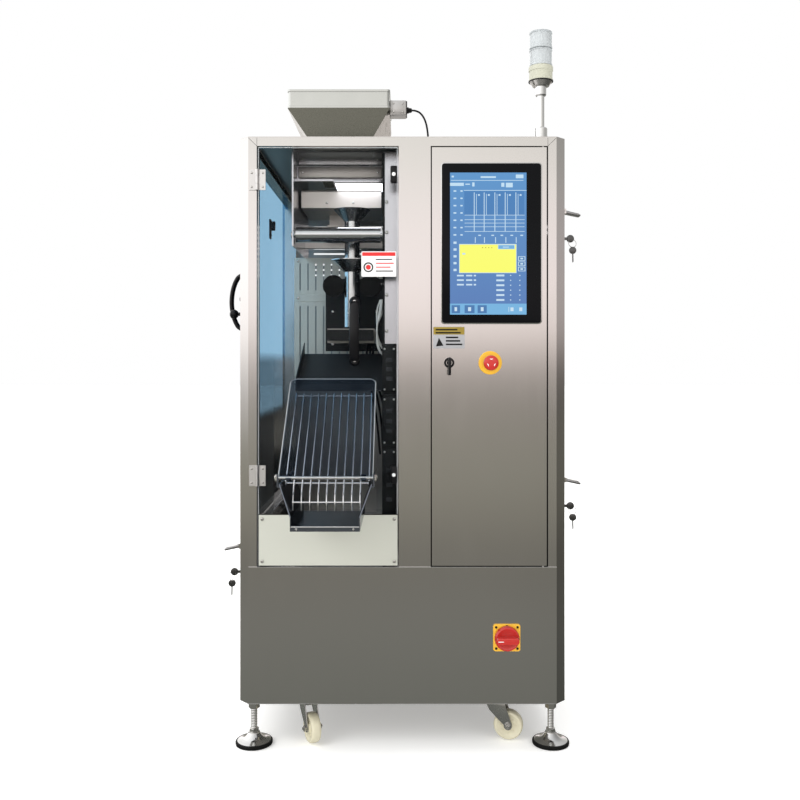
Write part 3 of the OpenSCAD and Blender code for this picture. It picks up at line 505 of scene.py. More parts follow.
class SealerSizes(bpy.types.PropertyGroup):
    """Sizes of the detailed pieces."""

    wire: bpy.props.FloatProperty(name="Wire", description="Diameter of a slide wire", default=0.004,
                                  unit="LENGTH")
    cable: bpy.props.FloatProperty(name="Cable", description="Diameter of the sensor cable", default=0.005,
                                   unit="LENGTH")
    grip: bpy.props.FloatProperty(name="Grip", description="Width of a bow handle", default=0.024,
                                  unit="LENGTH")
    hem: bpy.props.FloatProperty(name="Hem", description="Height of the hopper's folded hem", default=0.006,
                                 unit="LENGTH")
    lens: bpy.props.FloatProperty(name="Lens", description="Focal length of the camera", default=40.4,
                                  unit="CAMERA")
    camera_height: bpy.props.FloatProperty(name="Camera height",
                                           description="Height of the camera above the floor",
                                           default=0.9588, unit="LENGTH")
    camera_distance: bpy.props.FloatProperty(name="Camera distance",
                                             description="Camera to the cabinet's front face",
                                             default=2.19, unit="LENGTH")


class SealerColours(bpy.types.PropertyGroup):
    """Colours of the finishes."""

    steel: bpy.props.FloatVectorProperty(name="Steel", description="Brushed stainless of the cabinet", size=3,
                                         subtype="COLOR", default=(0.62, 0.60, 0.585))
    tint: bpy.props.FloatVectorProperty(name="Window tint", description="Tinted side window", size=3,
                                        subtype="COLOR",
                                        default=(0.61, 0.80, 0.93))
    yellow: bpy.props.FloatVectorProperty(name="Yellow", description="Switch plate and stop ring", size=3,
                                          subtype="COLOR", default=(0.80, 0.44, 0.02))
    red: bpy.props.FloatVectorProperty(name="Red", description="Stop head and switch knob", size=3,
                                       subtype="COLOR",
                                       default=(0.46, 0.016, 0.012))
    floor: bpy.props.FloatVectorProperty(name="Floor", description="Studio floor", size=3, subtype="COLOR",
                                         default=(0.92, 0.92, 0.91))


def sizes():
    return bpy.context.scene.sealer_sizes


def colours():
    return bpy.context.scene.sealer_colours


# CAD nodes that stay, and the finish that each one gets
NODE_FINISH = {
    "cabinet_frame": "steel_post", "roof_sheet": "steel_roof", "back_sheet": "steel_back_painted_shade",
    "lower_front_sheet": "steel_door", "bay_partition": "steel_inner", "slatted_guard": "steel_guard",
    "front_hinge_leaves": "steel_hinge", "castor_plates": "zinc", "feeder_frame": "steel_inner",
    "feeder_pan": "steel_pan", "forming_set": "steel_bright", "machine_frame": "machine_black",
    "inner_slide": "module_dark", "drive_modules": "module_grey", "film_roller": "chrome_roll",
    "pull_wheel_left": "tyre_black", "pull_wheel_right": "tyre_black", "vertical_seal": "jaw_steel",
    "jaw_front": "jaw_steel", "jaw_rear": "jaw_steel", "cut_knife": "steel_bright",
               "front_door": "acrylic_clear",
    "front_door_leaves": "steel_hinge", "apron_sheet": "steel_apron", "chute_tray": "steel_tray_painted_shade",
    "chute_cover": "acrylic_cover", "control_door": "steel_door", "touch_panel": "panel_black",
    "left_window_door": "acrylic_tint", "left_lower_door": "steel_door", "right_door": "steel_door",
    "lever_left": "steel_dark", "lever_right_upper": "steel_dark", "lever_right_lower": "steel_dark",
    "stack_tiers": "tier_clear", "stack_base": "cream", "stack_pole": "chrome_pole",
    "hopper": "chrome_hopper", "level_sensor": "sensor_grey", "sensor_cable": "cable_black",
    "switch_plate": "yellow", "switch_knob": "red", "stop_ring": "yellow", "stop_head": "red",
    "control_key": "black_nylon", "front_door_handle": "black_nylon", "left_handle": "black_nylon",
    "chute_slide": "wire_bright",
}


class SEALER_OT_finishes(bpy.types.Operator):
    """Makes every finish and gives the carried-over CAD nodes theirs"""
    bl_idname = "sealer.finishes"
    bl_label = "Finishes"

    def execute(self, context):
        steel = tuple(colours().steel)
        yellow, red = tuple(colours().yellow), tuple(colours().red)
        # the posts and door sheets get painted shade near the floor from their last argument
        brushed("steel_post", steel, 0.14, "z", dust_and_shade=0.12)
        brushed("steel_door", steel, 0.14, "z", dust_and_shade=0.1)
        brushed("steel_roof", steel, 0.30, "x")
        satin("steel_apron", (0.60, 0.61, 0.54), 0.42)
        brushed("steel_inner", (0.74, 0.72, 0.75), 0.26, "z")
        satin("steel_guard", (0.66, 0.64, 0.57), 0.42)
        brushed("steel_hinge", (0.80, 0.79, 0.78), 0.38, "z", blotch=0.04)
        brushed("steel_pan", (0.78, 0.72, 0.68), 0.42, "x", blotch=0.06)
        # painted shade: the tray steel is a dark navy grey, standing in for the shadow the chute tray sits in
        brushed("steel_tray_painted_shade", (0.17, 0.19, 0.23), 0.24, "y", blotch=0.08)
        # painted shade: the back sheet is darker steel, standing in for the dim inside of the cabinet
        brushed("steel_back_painted_shade", (0.34, 0.34, 0.33), 0.3, "z")
        brushed("jaw_steel", (0.40, 0.38, 0.36), 0.34, "x", blotch=0.12)
        brushed("sensor_grey", (0.62, 0.61, 0.60), 0.42, "z", depth=0.15)
        plated("steel_bright", (0.72, 0.71, 0.70), 0.16)
        plated("steel_dark", (0.34, 0.34, 0.345), 0.2)
        # painted reflection: the funnel metal is a dark olive, standing in for the dark roof it mirrors
        plated("funnel_painted_reflection", (0.27, 0.27, 0.225), 0.22)
        plated("screw_steel", (0.70, 0.69, 0.67), 0.22)
        plated("chrome_hopper", (0.56, 0.565, 0.545), 0.12, depth=0.08)
        plated("chrome_roll", (0.85, 0.83, 0.84), 0.08)
        plated("chrome_pole", (0.80, 0.80, 0.80), 0.15)
        plated("wire_bright", (0.86, 0.86, 0.86), 0.14)
        plated("zinc", (0.50, 0.50, 0.49), 0.2, blotch=0.12)
        plated("foot_steel", (0.66, 0.66, 0.65), 0.1, blotch=0.1)
        plated("key_steel", (0.12, 0.12, 0.12), 0.22)
        moulded("machine_black", (0.010, 0.011, 0.012), 0.42, dust_and_shade=0.1, shine=0.2)
        moulded("module_grey", (0.50, 0.50, 0.48), 0.5)
        moulded("module_dark", (0.035, 0.038, 0.042), 0.45, shine=0.25)
        moulded("tyre_black", (0.006, 0.006, 0.006), 0.6, grain=300, depth=0.3, dust_and_shade=0.05, shine=0.12)
        moulded("black_nylon", (0.005, 0.005, 0.006), 0.3, dust_and_shade=0.02, shine=0.25)
        moulded("cable_black", (0.008, 0.008, 0.009), 0.5, grain=200, dust_and_shade=0.03, shine=0.2)
        moulded("cable_white", (0.72, 0.72, 0.70), 0.45, grain=200)
        moulded("panel_black", (0.003, 0.0032, 0.004), 0.16, depth=0.02, dust_and_shade=0.01, shine=0.1)
        moulded("yellow", yellow, 0.34, depth=0.08, coat=0.2, dust_and_shade=0.05)
        moulded("red", red, 0.24, depth=0.05, coat=0.5, dust_and_shade=0.03)
        moulded("cream", (0.46, 0.46, 0.37), 0.38, coat=0.1)
        moulded("ivory", (0.66, 0.62, 0.46), 0.34, coat=0.2, dust_and_shade=0.2)
        moulded("white_label", (0.80, 0.80, 0.79), 0.5, depth=0.03, dust_and_shade=0.03)
        moulded("red_mark", (0.62, 0.02, 0.02), 0.5, depth=0.03, dust_and_shade=0.03)
        moulded("ink", (0.012, 0.012, 0.012), 0.55, depth=0.03, dust_and_shade=0.02, shine=0.1)
        moulded("silver_label", (0.34, 0.34, 0.35), 0.35, depth=0.03, dust_and_shade=0.05)
        moulded("ochre_label", (0.27, 0.19, 0.02), 0.4, depth=0.03, dust_and_shade=0.05)
        clear("acrylic_clear", (0.955, 0.97, 0.975, 1), mirror=0.012, haze=0.01)
        clear("acrylic_cover", (0.74, 0.78, 0.83, 1), mirror=0.02, haze=0.02, body=(0.015, 0.03, 0.05, 1))
        # painted highlight: the edge finish has a light grey body, a line of light along the pane and cover
        # edges
        clear("acrylic_edge_painted_highlight", (0.75, 0.82, 0.86, 1), mirror=0.55, haze=0.1, rough=0.15,
              body=(0.72, 0.75, 0.76, 1))
        # the side window's steps paint shade: darker below 0.965 m and darker again below 0.80 m
        clear("acrylic_tint", (*colours().tint, 1), mirror=0.02, haze=0.02, body=(0.012, 0.03, 0.045, 1),
              grazing=0.12, steps=((0.965, 0.42), (0.80, 0.46)))
        clear("tier_clear", (0.93, 0.95, 0.96, 1), mirror=0.55, haze=0.1, rough=0.25,
              body=(0.60, 0.635, 0.65, 1))
        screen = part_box("touch_panel")
        low, high = screen[0][2], screen[1][2]
        glowing("screen_blue", (0.105, 0.21, 0.50, 1), (0.115, 0.33, 0.65, 1), 0.9, low, high)
        glowing("screen_bar", (0.19, 0.47, 0.76, 1), (0.16, 0.42, 0.72, 1), 0.95, low, high)
        glowing("screen_dark", (0.07, 0.20, 0.45, 1), (0.07, 0.24, 0.55, 1), 0.9, low, high)
        glowing("screen_white", (0.62, 0.78, 0.90, 1), (0.55, 0.76, 0.92, 1), 0.95, low, high)
        glowing("screen_yellow", (0.94, 0.95, 0.13, 1), (0.95, 0.96, 0.18, 1), 1.0, low, high)
        glowing("lamp_white", (0.9, 0.93, 1, 1), (1, 1, 1, 1), 3.0, 1.40, 1.43)
        for corner in CORNERS:
            NODE_FINISH["foot_" + corner] = "foot_steel"
            NODE_FINISH["castor_fork_" + corner] = "zinc"
            NODE_FINISH["castor_wheel_" + corner] = "ivory"
        for node, finish in NODE_FINISH.items():
            mesh = frame["nodes"][node].data
            mesh.materials.clear()
            mesh.materials.append(FINISHES[finish])
        return {"FINISHED"}


class SEALER_OT_studio(bpy.types.Operator):
    """Camera, pale floor, soft lights and the sky that the steel mirrors"""
    bl_idname = "sealer.studio"
    bl_label = "Studio"

    def execute(self, context):
        scene = context.scene
        scene.view_settings.view_transform = "Standard"
        data = bpy.data.cameras.new("camera")
        data.lens = sizes().lens
        data.sensor_width = 36
        data.shift_x = -0.003
        data.shift_y = -0.051
        camera = bpy.data.objects.new("camera", data)
        camera.location = (0, FRONT - sizes().camera_distance, sizes().camera_height)
        camera.rotation_euler = (math.radians(90), 0, 0)
        scene.collection.objects.link(camera)
        scene.camera = camera
        self.floor()
        self.sky()
        self.lamp("key", (-2.6, -2.6, 3.0), (0.1, 0.0, 0.9), 2.4, 60)
        self.lamp("fill", (2.4, -2.8, 2.4), (0.0, 0.0, 0.8), 2.0, 26)
        self.lamp("top", (0.0, 0.2, 4.0), (0.0, 0.1, 0.5), 3.0, 50)
        self.lamp("rear", (0.6, 3.2, 2.8), (0.0, 0.3, 0.8), 2.4, 45)
        self.lamp("bay", (-0.108, FRONT + 0.15, 1.404), (-0.13, FRONT + 0.22, 1.0), 0.10, 0.7)
        return {"FINISHED"}

    def floor(self):
        deselect()
        bpy.ops.mesh.primitive_plane_add(size=60, location=(0, 0, -0.0005))
        floor = settle(bpy.context.object, "studio_floor")
        f = Finish("floor_pale")
        cloud = f.noise(1.5, 3)
        base = f.mix(cloud, tone(colours().floor, 0.985), tone(colours().floor, 1.0))
        f.close(f.add("BsdfPrincipled", Base_Color=base, Roughness=0.6 + cloud * 0.1, Emission_Color=base,
                      Emission_Strength=0.3,
                      Normal=f.bump(f.noise(200, 2), 0.05, 0.0003)))
        painted(floor, "floor_pale")
        floor.visible_glossy = False

    def sky(self):
        """A room that is bright above the horizon and dim below it; the camera itself sees plain white."""
        world = bpy.data.worlds.new("studio")
        bpy.context.scene.world = world
        world.use_nodes = True
        tree = world.node_tree
        tree.nodes.clear()
        f = Finish.__new__(Finish)
        f.tree = tree
        way = f.add("TexCoord", output="Generated")
        across = f.add("SeparateXYZ", output=0, Vector=way)
        up = f.add("SeparateXYZ", output=2, Vector=way)
        level = up.math("ADD", up * 0.5, 0.5, clamp=True)
        ramp = f.add("ValToRGB", {"stops": [
            (0.0, (0.30, 0.29, 0.27, 1)), (0.25, (0.20, 0.205, 0.19, 1)), (0.33, (0.23, 0.238, 0.212, 1)),
                                            (0.36, (0.262, 0.264, 0.238, 1)),
            (0.395, (0.232, 0.224, 0.196, 1)), (0.417, (0.33, 0.32, 0.27, 1)), (0.44, (0.37, 0.365, 0.31, 1)),
                                            (0.462, (0.375, 0.362, 0.31, 1)),
            (0.485, (0.36, 0.335, 0.31, 1)), (0.498, (0.58, 0.52, 0.48, 1)), (0.508, (1.10, 0.99, 0.94, 1)),
                                            (0.52, (1.42, 1.29, 1.26, 1)), (0.56, (1.42, 1.31, 1.30, 1)),
            (0.592, (1.30, 1.24, 1.21, 1)), (0.61, (1.16, 1.15, 1.09, 1)), (0.72, (0.85, 0.84, 0.82, 1)),
                                            (1.0, (0.95, 0.96, 0.98, 1))]}, Fac=level)
        side = (0.10 - across).math("MULTIPLY", 0.10 - across, 0.9, clamp=True)
        lit = f.mix(side, ramp, f.mix(up.above(0.0, 0.2), ramp, (1.7, 1.7, 1.7, 1)))
        dim = (across - 0.10).math("MULTIPLY", across - 0.10, 1.25, clamp=True)
        shade = f.mix(dim, lit, f.add("VectorMath", {"operation": "SCALE"}, _0=lit, Scale=0.42))
        seen = f.add("LightPath", output="Is Camera Ray")
        colour = f.mix(seen, shade, (1.0, 1.0, 1.0, 1))
        sky = f.add("Background", Color=colour, Strength=1.0)
        out = tree.nodes.new("ShaderNodeOutputWorld")
        tree.links.new(sky.socket, out.inputs["Surface"])

    def lamp(self, name, place, aim, size, power):
        data = bpy.data.lights.new(name, "AREA")
        data.size = size
        data.energy = power
        lamp = bpy.data.objects.new(name, data)
        lamp.location = place
        lamp.rotation_euler = (Vector(aim) - Vector(place)).to_track_quat("-Z", "Y").to_euler()
        lamp.visible_glossy = False
        bpy.context.scene.collection.objects.link(lamp)


class SEALER_OT_hopper(bpy.types.Operator):
    """Polished hopper: a deep rim with folded hems, and a funnel on a flange"""
    bl_idname = "sealer.hopper"
    bl_label = "Hopper"

    def execute(self, context):
        low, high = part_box("hopper")
        rim_low = high[2] - 0.048
        half = (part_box("hopper")[1][0] - low[0]) / 2
        x, y = (low[0] + high[0]) / 2, (low[1] + high[1]) / 2
        parts = [self.shell((low[0], low[1], rim_low), (high[0], high[1], high[2]), 0.007, 0.002)]
        hem = sizes().hem
        for z, out in ((high[2] - hem, 0.0016), (rim_low, 0.0012)):
            parts.append(self.shell((low[0] - out, low[1] - out, z), (high[0] + out, high[1] + out, z + hem),
                                    0.007, 0.003))
        throat = 0.0527
        parts.append(self.funnel((x, y, ROOF), rim_low + 0.001, half, (high[1] - low[1]) / 2, throat))
        parts.append(self.shell((x - throat, y - throat, ROOF - 0.06), (x + throat, y + throat, ROOF + 0.012),
                                0.002, 0.0015))
        flange = throat + 0.025
        ring = block((x - flange, y - flange, ROOF), (x + flange, y + flange, ROOF + 0.003), 0.0008)
        pick_faces(ring, lambda c, n: abs(n.z) > 0.9)
        bpy.ops.mesh.inset(thickness=0.0265)
        bpy.ops.mesh.delete(type="FACE")
        leave()
        parts.append(outward(ring))
        for sx in (-1, 1):
            for sy in (-1, 1):
                parts.append(screw((x + sx * (flange - 0.010), y + sy * (flange - 0.010), ROOF + 0.003),
                                   (0, 0, 1), 0.005))
        # the funnel (index 3) gets the dark olive painted reflection, the rest polished chrome
        for index, part in enumerate(parts[:6]):
            painted(part, "funnel_painted_reflection" if index == 3 else "chrome_hopper")
        joined(parts, "hopper_body", "cabinet", ["hopper"])
        return {"FINISHED"}

    def shell(self, low, high, bevel, wall):
        """A sheet ring: a box without its top and bottom, with its uprights rounded and a wall inwards."""
        obj = block(low, high, 0)
        pick_faces(obj, lambda c, n: abs(n.z) > 0.9)
        bpy.ops.mesh.delete(type="FACE")
        edit(obj, "EDGE")
        mesh = bmesh.from_edit_mesh(obj.data)
        for edge in mesh.edges:
            edge.select_set(abs(edge.verts[0].co.z - edge.verts[1].co.z) > 1e-4)
        bmesh.update_edit_mesh(obj.data)
        bpy.ops.mesh.bevel(offset=bevel, segments=4)
        leave()
        outward(obj)
        modify(obj, "SOLIDIFY", thickness=wall, offset=-1)
        return soften(obj, 0.0004, 1)

    def funnel(self, foot, top, half_x, half_y, throat):
        obj = block((foot[0] - half_x, foot[1] - half_y, foot[2] + 0.003),
                    (foot[0] + half_x, foot[1] + half_y, top), 0)
        pick_faces(obj, lambda c, n: n.z < -0.9)
        bpy.ops.transform.resize(value=(throat / half_x, throat / half_y, 1),
                                 center_override=(foot[0], foot[1], foot[2] + 0.003))
        leave()
        pick_faces(obj, lambda c, n: abs(n.z) > 0.9)
        bpy.ops.mesh.delete(type="FACE")
        leave()
        outward(obj)
        modify(obj, "SOLIDIFY", thickness=0.002, offset=-1)
        return soften(obj, 0.0012, 3)


class SEALER_OT_sensor(bpy.types.Operator):
    """Level sensor on the hopper, its gland and cable, and the grommet in the roof"""
    bl_idname = "sealer.sensor"
    bl_label = "Level sensor"

    def execute(self, context):
        low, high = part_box("level_sensor")
        edge = low[0] + 0.044
        y, z = (low[1] + high[1]) / 2, high[2] - 0.022
        parts = [block((low[0], low[1], low[2]), (edge, high[1], high[2]), 0.003, 3, "sensor_grey"),
                 block((low[0] + 0.006, low[1] - 0.0012, low[2] + 0.005),
                       (edge - 0.006, low[1] + 0.001, high[2] - 0.005), 0.001, 2, "sensor_grey")]
        for px in (low[0] + 0.010, edge - 0.010):
            for pz in (low[2] + 0.009, high[2] - 0.009):
                parts.append(screw((px, low[1] - 0.0012, pz), (0, -1, 0), 0.0024))
        parts.append(block((edge - 0.0005, low[1] + 0.002, low[2] + 0.002),
                           (edge + 0.002, high[1] - 0.002, high[2] - 0.002), 0.0006, 1, "black_nylon"))
        parts.append(turned([(0.0085, 0), (0.0085, 0.006), (0.0065, 0.0062), (0.0068, 0.008),
                             (0.0060, 0.0130), (0.0042, 0.0148), (0.003, 0.015)],
                            (edge, y, z), (1, 0, 0), 12, 20, "black_nylon"))
        joined(parts, "sensor_box", "cabinet", ["level_sensor"])
        start = Vector((edge + 0.013, y, z))
        route = [(0, 0), (0.006, 0), (0.013, -0.0015), (0.021, -0.005), (0.028, -0.0115), (0.034, -0.021),
                 (0.039, -0.034), (0.042, -0.048),
                 (0.044, -0.064), (0.0452, -0.082), (0.0457, -0.100), (0.046, -0.118), (0.046, -0.134),
                 (0.046, -0.148)]
        points = [start + Vector((dx, 0, dz)) for dx, dz in route]
        cable = tube(points, sizes().cable / 2, 4, "cable_black")
        cable.name = "sensor_lead"
        cable.data.name = "sensor_lead"
        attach(cable, "cabinet")
        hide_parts("sensor_cable")
        hole = points[-1]
        grommet = turned([(0.0085, 0), (0.0095, 0.001), (0.0085, 0.0035), (0.0055, 0.004), (0.0036, 0.0036),
                          (0.0036, 0.0004)],
                         (hole.x, hole.y, ROOF), (0, 0, 1), 28, paint="black_nylon")
        joined([grommet], "roof_grommet", "cabinet")
        return {"FINISHED"}


class SEALER_OT_stack_light(bpy.types.Operator):
    """Stack light: flange, pole, cream base and two ribbed clear tiers"""
    bl_idname = "sealer.stack_light"
    bl_label = "Stack light"

    def execute(self, context):
        low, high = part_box("stack_tiers")
        x, y, r = (low[0] + high[0]) / 2, (low[1] + high[1]) / 2, (high[0] - low[0]) / 2
        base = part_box("stack_base")
        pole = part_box("stack_pole")
        foot, top = pole[0][2], pole[1][2]
        pole_parts = [turned([(0.029, 0), (0.029, 0.004), (0.027, 0.006), (0.0175, 0.0065), (0.0165, 0.030),
                              (0.0165, 0.044), (0.0150, 0.046),
                              (0.0090, 0.046), (0.0090, top - foot - 0.024), (0.0125, top - foot - 0.024),
                              (0.0140, top - foot - 0.022), (0.0140, top - foot)],
                             (x, y, foot), paint="chrome_pole")]
        for angle in (45, 135, 225, 315):
            a = math.radians(angle)
            pole_parts.append(screw((x + 0.023 * math.cos(a), y + 0.023 * math.sin(a), foot + 0.0062),
                                    (0, 0, 1), 0.0022))
        joined(pole_parts, "light_pole", "cabinet", ["stack_pole"])
        h = base[1][2] - base[0][2]
        body = turned([(r - 0.011, 0), (r - 0.009, 0.002), (r - 0.002, 0.012), (r + 0.0015, 0.013),
                       (r + 0.002, 0.016), (r + 0.0005, 0.018),
                       (r + 0.0005, h - 0.014), (r + 0.002, h - 0.012), (r + 0.002, h - 0.002), (r, h)],
                      (x, y, base[0][2]), paint="cream")
        cone = turned([(r - 0.012, 0), (r - 0.008, 0.0005), (r - 0.0012, 0.011), (r + 0.0019, 0.0118),
                       (r + 0.0019, 0.0135)],
                      (x, y, base[0][2] - 0.0003), paint="screw_steel")
        brim = turned([(r + 0.0012, 0), (r + 0.0026, 0.0006), (r + 0.0026, 0.0022), (r + 0.0012, 0.0028)],
                      (x, y, base[0][2] + 0.0108), paint="black_nylon")
        joined([body, cone, brim], "light_base", "cabinet", ["stack_base"])
        tier = (high[2] - low[2] + 0.0015) / 2
        parts = []
        for i in (0, 1):
            z = low[2] + i * tier
            parts.append(turned([(r - 0.002, 0), (r, 0.001), (r, 0.004), (r - 0.0012, 0.005),
                                 (r - 0.0012, tier - 0.006), (r, tier - 0.005),
                                 (r, tier - 0.0025), (r - 0.002, tier - 0.0015)], (x, y, z), sides=56,
                                paint="tier_clear"))
            core = turned([(r - 0.006, 0), (r - 0.006, tier - 0.004)], (x, y, z + 0.001), sides=36,
                          paint="white_label")
            edit(core)
            mesh = bmesh.from_edit_mesh(core.data)
            for index, face in enumerate([f for f in mesh.faces if abs(f.normal.z) < 0.5]):
                face.select_set(index % 2 == 0)
            bmesh.update_edit_mesh(core.data)
            bpy.ops.mesh.inset(thickness=0.0004, depth=-0.0012, use_individual=True)
            leave()
            parts.append(core)
        parts.append(turned([(r - 0.001, 0), (r, 0.0005), (r - 0.001, 0.0012), (r - 0.008, 0.0014)],
                            (x, y, high[2] - 0.0008), paint="tier_clear"))
        joined(parts, "light_tiers", "cabinet", ["stack_tiers"])
        return {"FINISHED"}


class SEALER_OT_front_door(bpy.types.Operator):
    """Clear door trim: hinge screws, catches, notice plate, apron screws and polished edges"""
    bl_idname = "sealer.front_door"
    bl_label = "Front door trim"

    def execute(self, context):
        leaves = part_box("front_hinge_leaves")
        door_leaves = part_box("front_door_leaves")
        levels = (leaves[0][2] + 0.025, leaves[1][2] - 0.025)
        fixed, swung = [], []
        for z in levels:
            for dz in (-0.017, 0.017):
                fixed.append(screw((leaves[0][0] + 0.0065, leaves[0][1] + 0.0065, z + dz), (0, -1, 0),
                                   0.0028))
                swung.append(screw((door_leaves[1][0] - 0.0065, leaves[0][1] + 0.0065, z + dz), (0, -1, 0),
                                   0.0028))
        for part in fixed + swung:
            place = FRONT - 0.003
            shift = place - max(v.co.y for v in part.data.vertices)
            for v in part.data.vertices:
                v.co.y += shift
        joined(fixed, "hinge_screws_fixed", "cabinet")
        joined(swung, "hinge_screws_door", "clear_door")
        edge = PANE[1][0]
        catches = []
        upper_catch, lower_catch = 1.408, 0.678
        for z in (upper_catch, lower_catch):
            catches.append(block((edge - 0.017, FRONT - 0.012, z - 0.021), (edge - 0.001, FRONT, z + 0.021),
                                 0.003, 3, "black_nylon"))
            catches.append(turned([(0.0045, 0), (0.0045, 0.001), (0.003, 0.0016)],
                                  (edge - 0.009, FRONT - 0.012, z), (0, -1, 0), 20, paint="white_label"))
        joined(catches, "door_catches", "clear_door")
        self.notice(edge)
        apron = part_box("apron_sheet")
        screws = [screw((x, apron[0][1], z), (0, -1, 0), 0.0042) for x in (apron[0][0] + 0.008,
                                                                           apron[1][0] - 0.008)
                  for z in (apron[0][2] + 0.010, apron[1][2] - 0.010)]
        seal = block((apron[0][0] - 0.0015, FRONT - 0.0006, apron[0][2] - 0.0012),
                     (apron[1][0] + 0.0015, FRONT - 0.0001, apron[1][2] + 0.0018), 0, paint="ink")
        joined(screws + [seal], "apron_screws", "clear_door")
        joined(self.edges(), "door_edges", "clear_door")
        return {"FINISHED"}

    def edges(self):
        """The polished edge of the pane, a fine line of light round the door."""
        low, high = PANE
        t = 0.0012
        y = (FRONT - 0.0002, FRONT + 0.008)
        return [block((low[0], y[0], low[2]), (low[0] + t, y[1], high[2]), 0.0002, 1, "acrylic_edge_painted_highlight"),
                block((high[0] - t, y[0], low[2]), (high[0], y[1], high[2]), 0.0002, 1, "acrylic_edge_painted_highlight"),
                block((low[0], y[0], high[2] - t), (high[0], y[1], high[2]), 0.0002, 1, "acrylic_edge_painted_highlight")]

    def notice(self, edge):
        """A small white notice plate with a ring sign and plain bars in place of words."""
        y = FRONT
        x0, x1, z0, z1 = edge - 0.088, edge - 0.003, 1.160, 1.2215
        parts = [plate(rounded((x0, z0), (x1, z1), 0.002), "y", y - 0.0012, y - 0.0001, 0.0002,
                       paint="white_label")]
        mark = y - 0.0015
        parts.append(block((x0 + 0.002, mark, z1 - 0.011), (x1 - 0.002, y - 0.0011, z1 - 0.002), 0,
                           paint="red_mark"))
        deselect()
        bpy.ops.mesh.primitive_torus_add(major_radius=0.0105, minor_radius=0.0016, major_segments=32,
                                         minor_segments=6,
                                         location=(x0 + 0.017, mark, 1.183),
                                         rotation=(math.radians(90), 0, 0))
        ring = settle(bpy.context.object)
        parts.append(painted(ring, "ink"))
        deselect()
        parts.append(turned([(0.006, 0), (0.006, 0.0004)], (x0 + 0.017, mark + 0.0004, 1.183), (0, -1, 0), 24,
                            paint="red_mark"))
        for index, (length, colour) in enumerate(((0.040, "ink"), (0.044, "red_mark"), (0.036, "red_mark"),
                                                  (0.042, "ink"))):
            z = z1 - 0.018 - index * 0.0095
            parts.append(block((x0 + 0.035, mark, z - 0.0026), (x0 + 0.035 + length, y - 0.0011, z), 0,
                               paint=colour))
        joined(parts, "door_notice", "clear_door")


class SEALER_OT_handles(bpy.types.Operator):
    """Black bow handles with flared feet, screw caps, and the side window's knob"""
    bl_idname = "sealer.handles"
    bl_label = "Bow handles"

    def execute(self, context):
        low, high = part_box("front_door_handle")
        x = (low[0] + high[0]) / 2
        grip = sizes().grip
        parts = self.bow((x, FRONT, low[2]), high[2] - low[2], FRONT - low[1], grip)
        joined(parts, "front_handle", "clear_door", ["front_door_handle"])
        low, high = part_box("left_handle")
        y = (low[1] + high[1]) / 2
        side = self.bow((0, 0, low[2]), high[2] - low[2], LEFT - low[0], grip * 0.85)
        matrix = Matrix.Translation((LEFT, y, 0)) @ Matrix.Rotation(math.radians(-90), 4, "Z")
        turned_parts = [copied(part, matrix) for part in side]
        discard(side)
        middle = (low[2] + high[2]) / 2
        turned_parts.append(turned([(0.011, 0), (0.011, 0.006), (0.009, 0.010), (0.005, 0.012)],
                                   (LEFT, y - 0.028, middle + 0.006), (-1, 0, 0), 32, paint="black_nylon"))
        turned_parts.append(turned([(0.0045, 0), (0.0045, 0.016), (0.008, 0.018), (0.0118, 0.024),
                                    (0.0122, 0.028), (0.0100, 0.034), (0.005, 0.037)],
                                   (LEFT, y - 0.028, middle - 0.032), (-1, 0, 0), 32, paint="black_nylon"))
        joined(turned_parts, "window_handle", "window_door", ["left_handle"])
        return {"FINISHED"}

    def bow(self, foot, length, reach, width):
        """A bow along +Z standing out towards -Y: two flared feet carried into one rounded grip."""
        x, y, z = foot
        thick = 0.012
        feet = 0.015
        steps = 18
        parts = []
        outline = []
        for step in range(steps + 1):
            t = step / steps
            s = math.sin(math.pi * min(1.0, max(0.0, t))) ** 0.42
            outline.append((y - 0.004 - (reach - 0.004 - thick / 2) * s,
                            z + feet * 0.9 + (length - feet * 1.8) * t))
        deselect()
        path = [(x, py, pz) for py, pz in outline]
        bar = tube(path, thick / 2, 4, "black_nylon")
        edit_all(bar)
        bpy.ops.transform.resize(value=(width / thick, 1, 1), center_override=(x, y, z))
        leave()
        parts.append(smooth(bar, 60))
        for end in (z + feet * 0.9, z + length - feet * 0.9):
            foot_piece = turned([(0.0135, 0), (0.0135, 0.003), (0.0105, 0.007), (0.0085, 0.012)], (x, y, end),
                                (0, -1, 0), 32, paint="black_nylon")
            parts.append(foot_piece)
            parts.append(turned([(0.0042, 0), (0.0042, 0.001), (0.003, 0.0018)], (x, y - 0.0125, end),
                                (0, -1, 0), 20, paint="screw_steel"))
        return parts


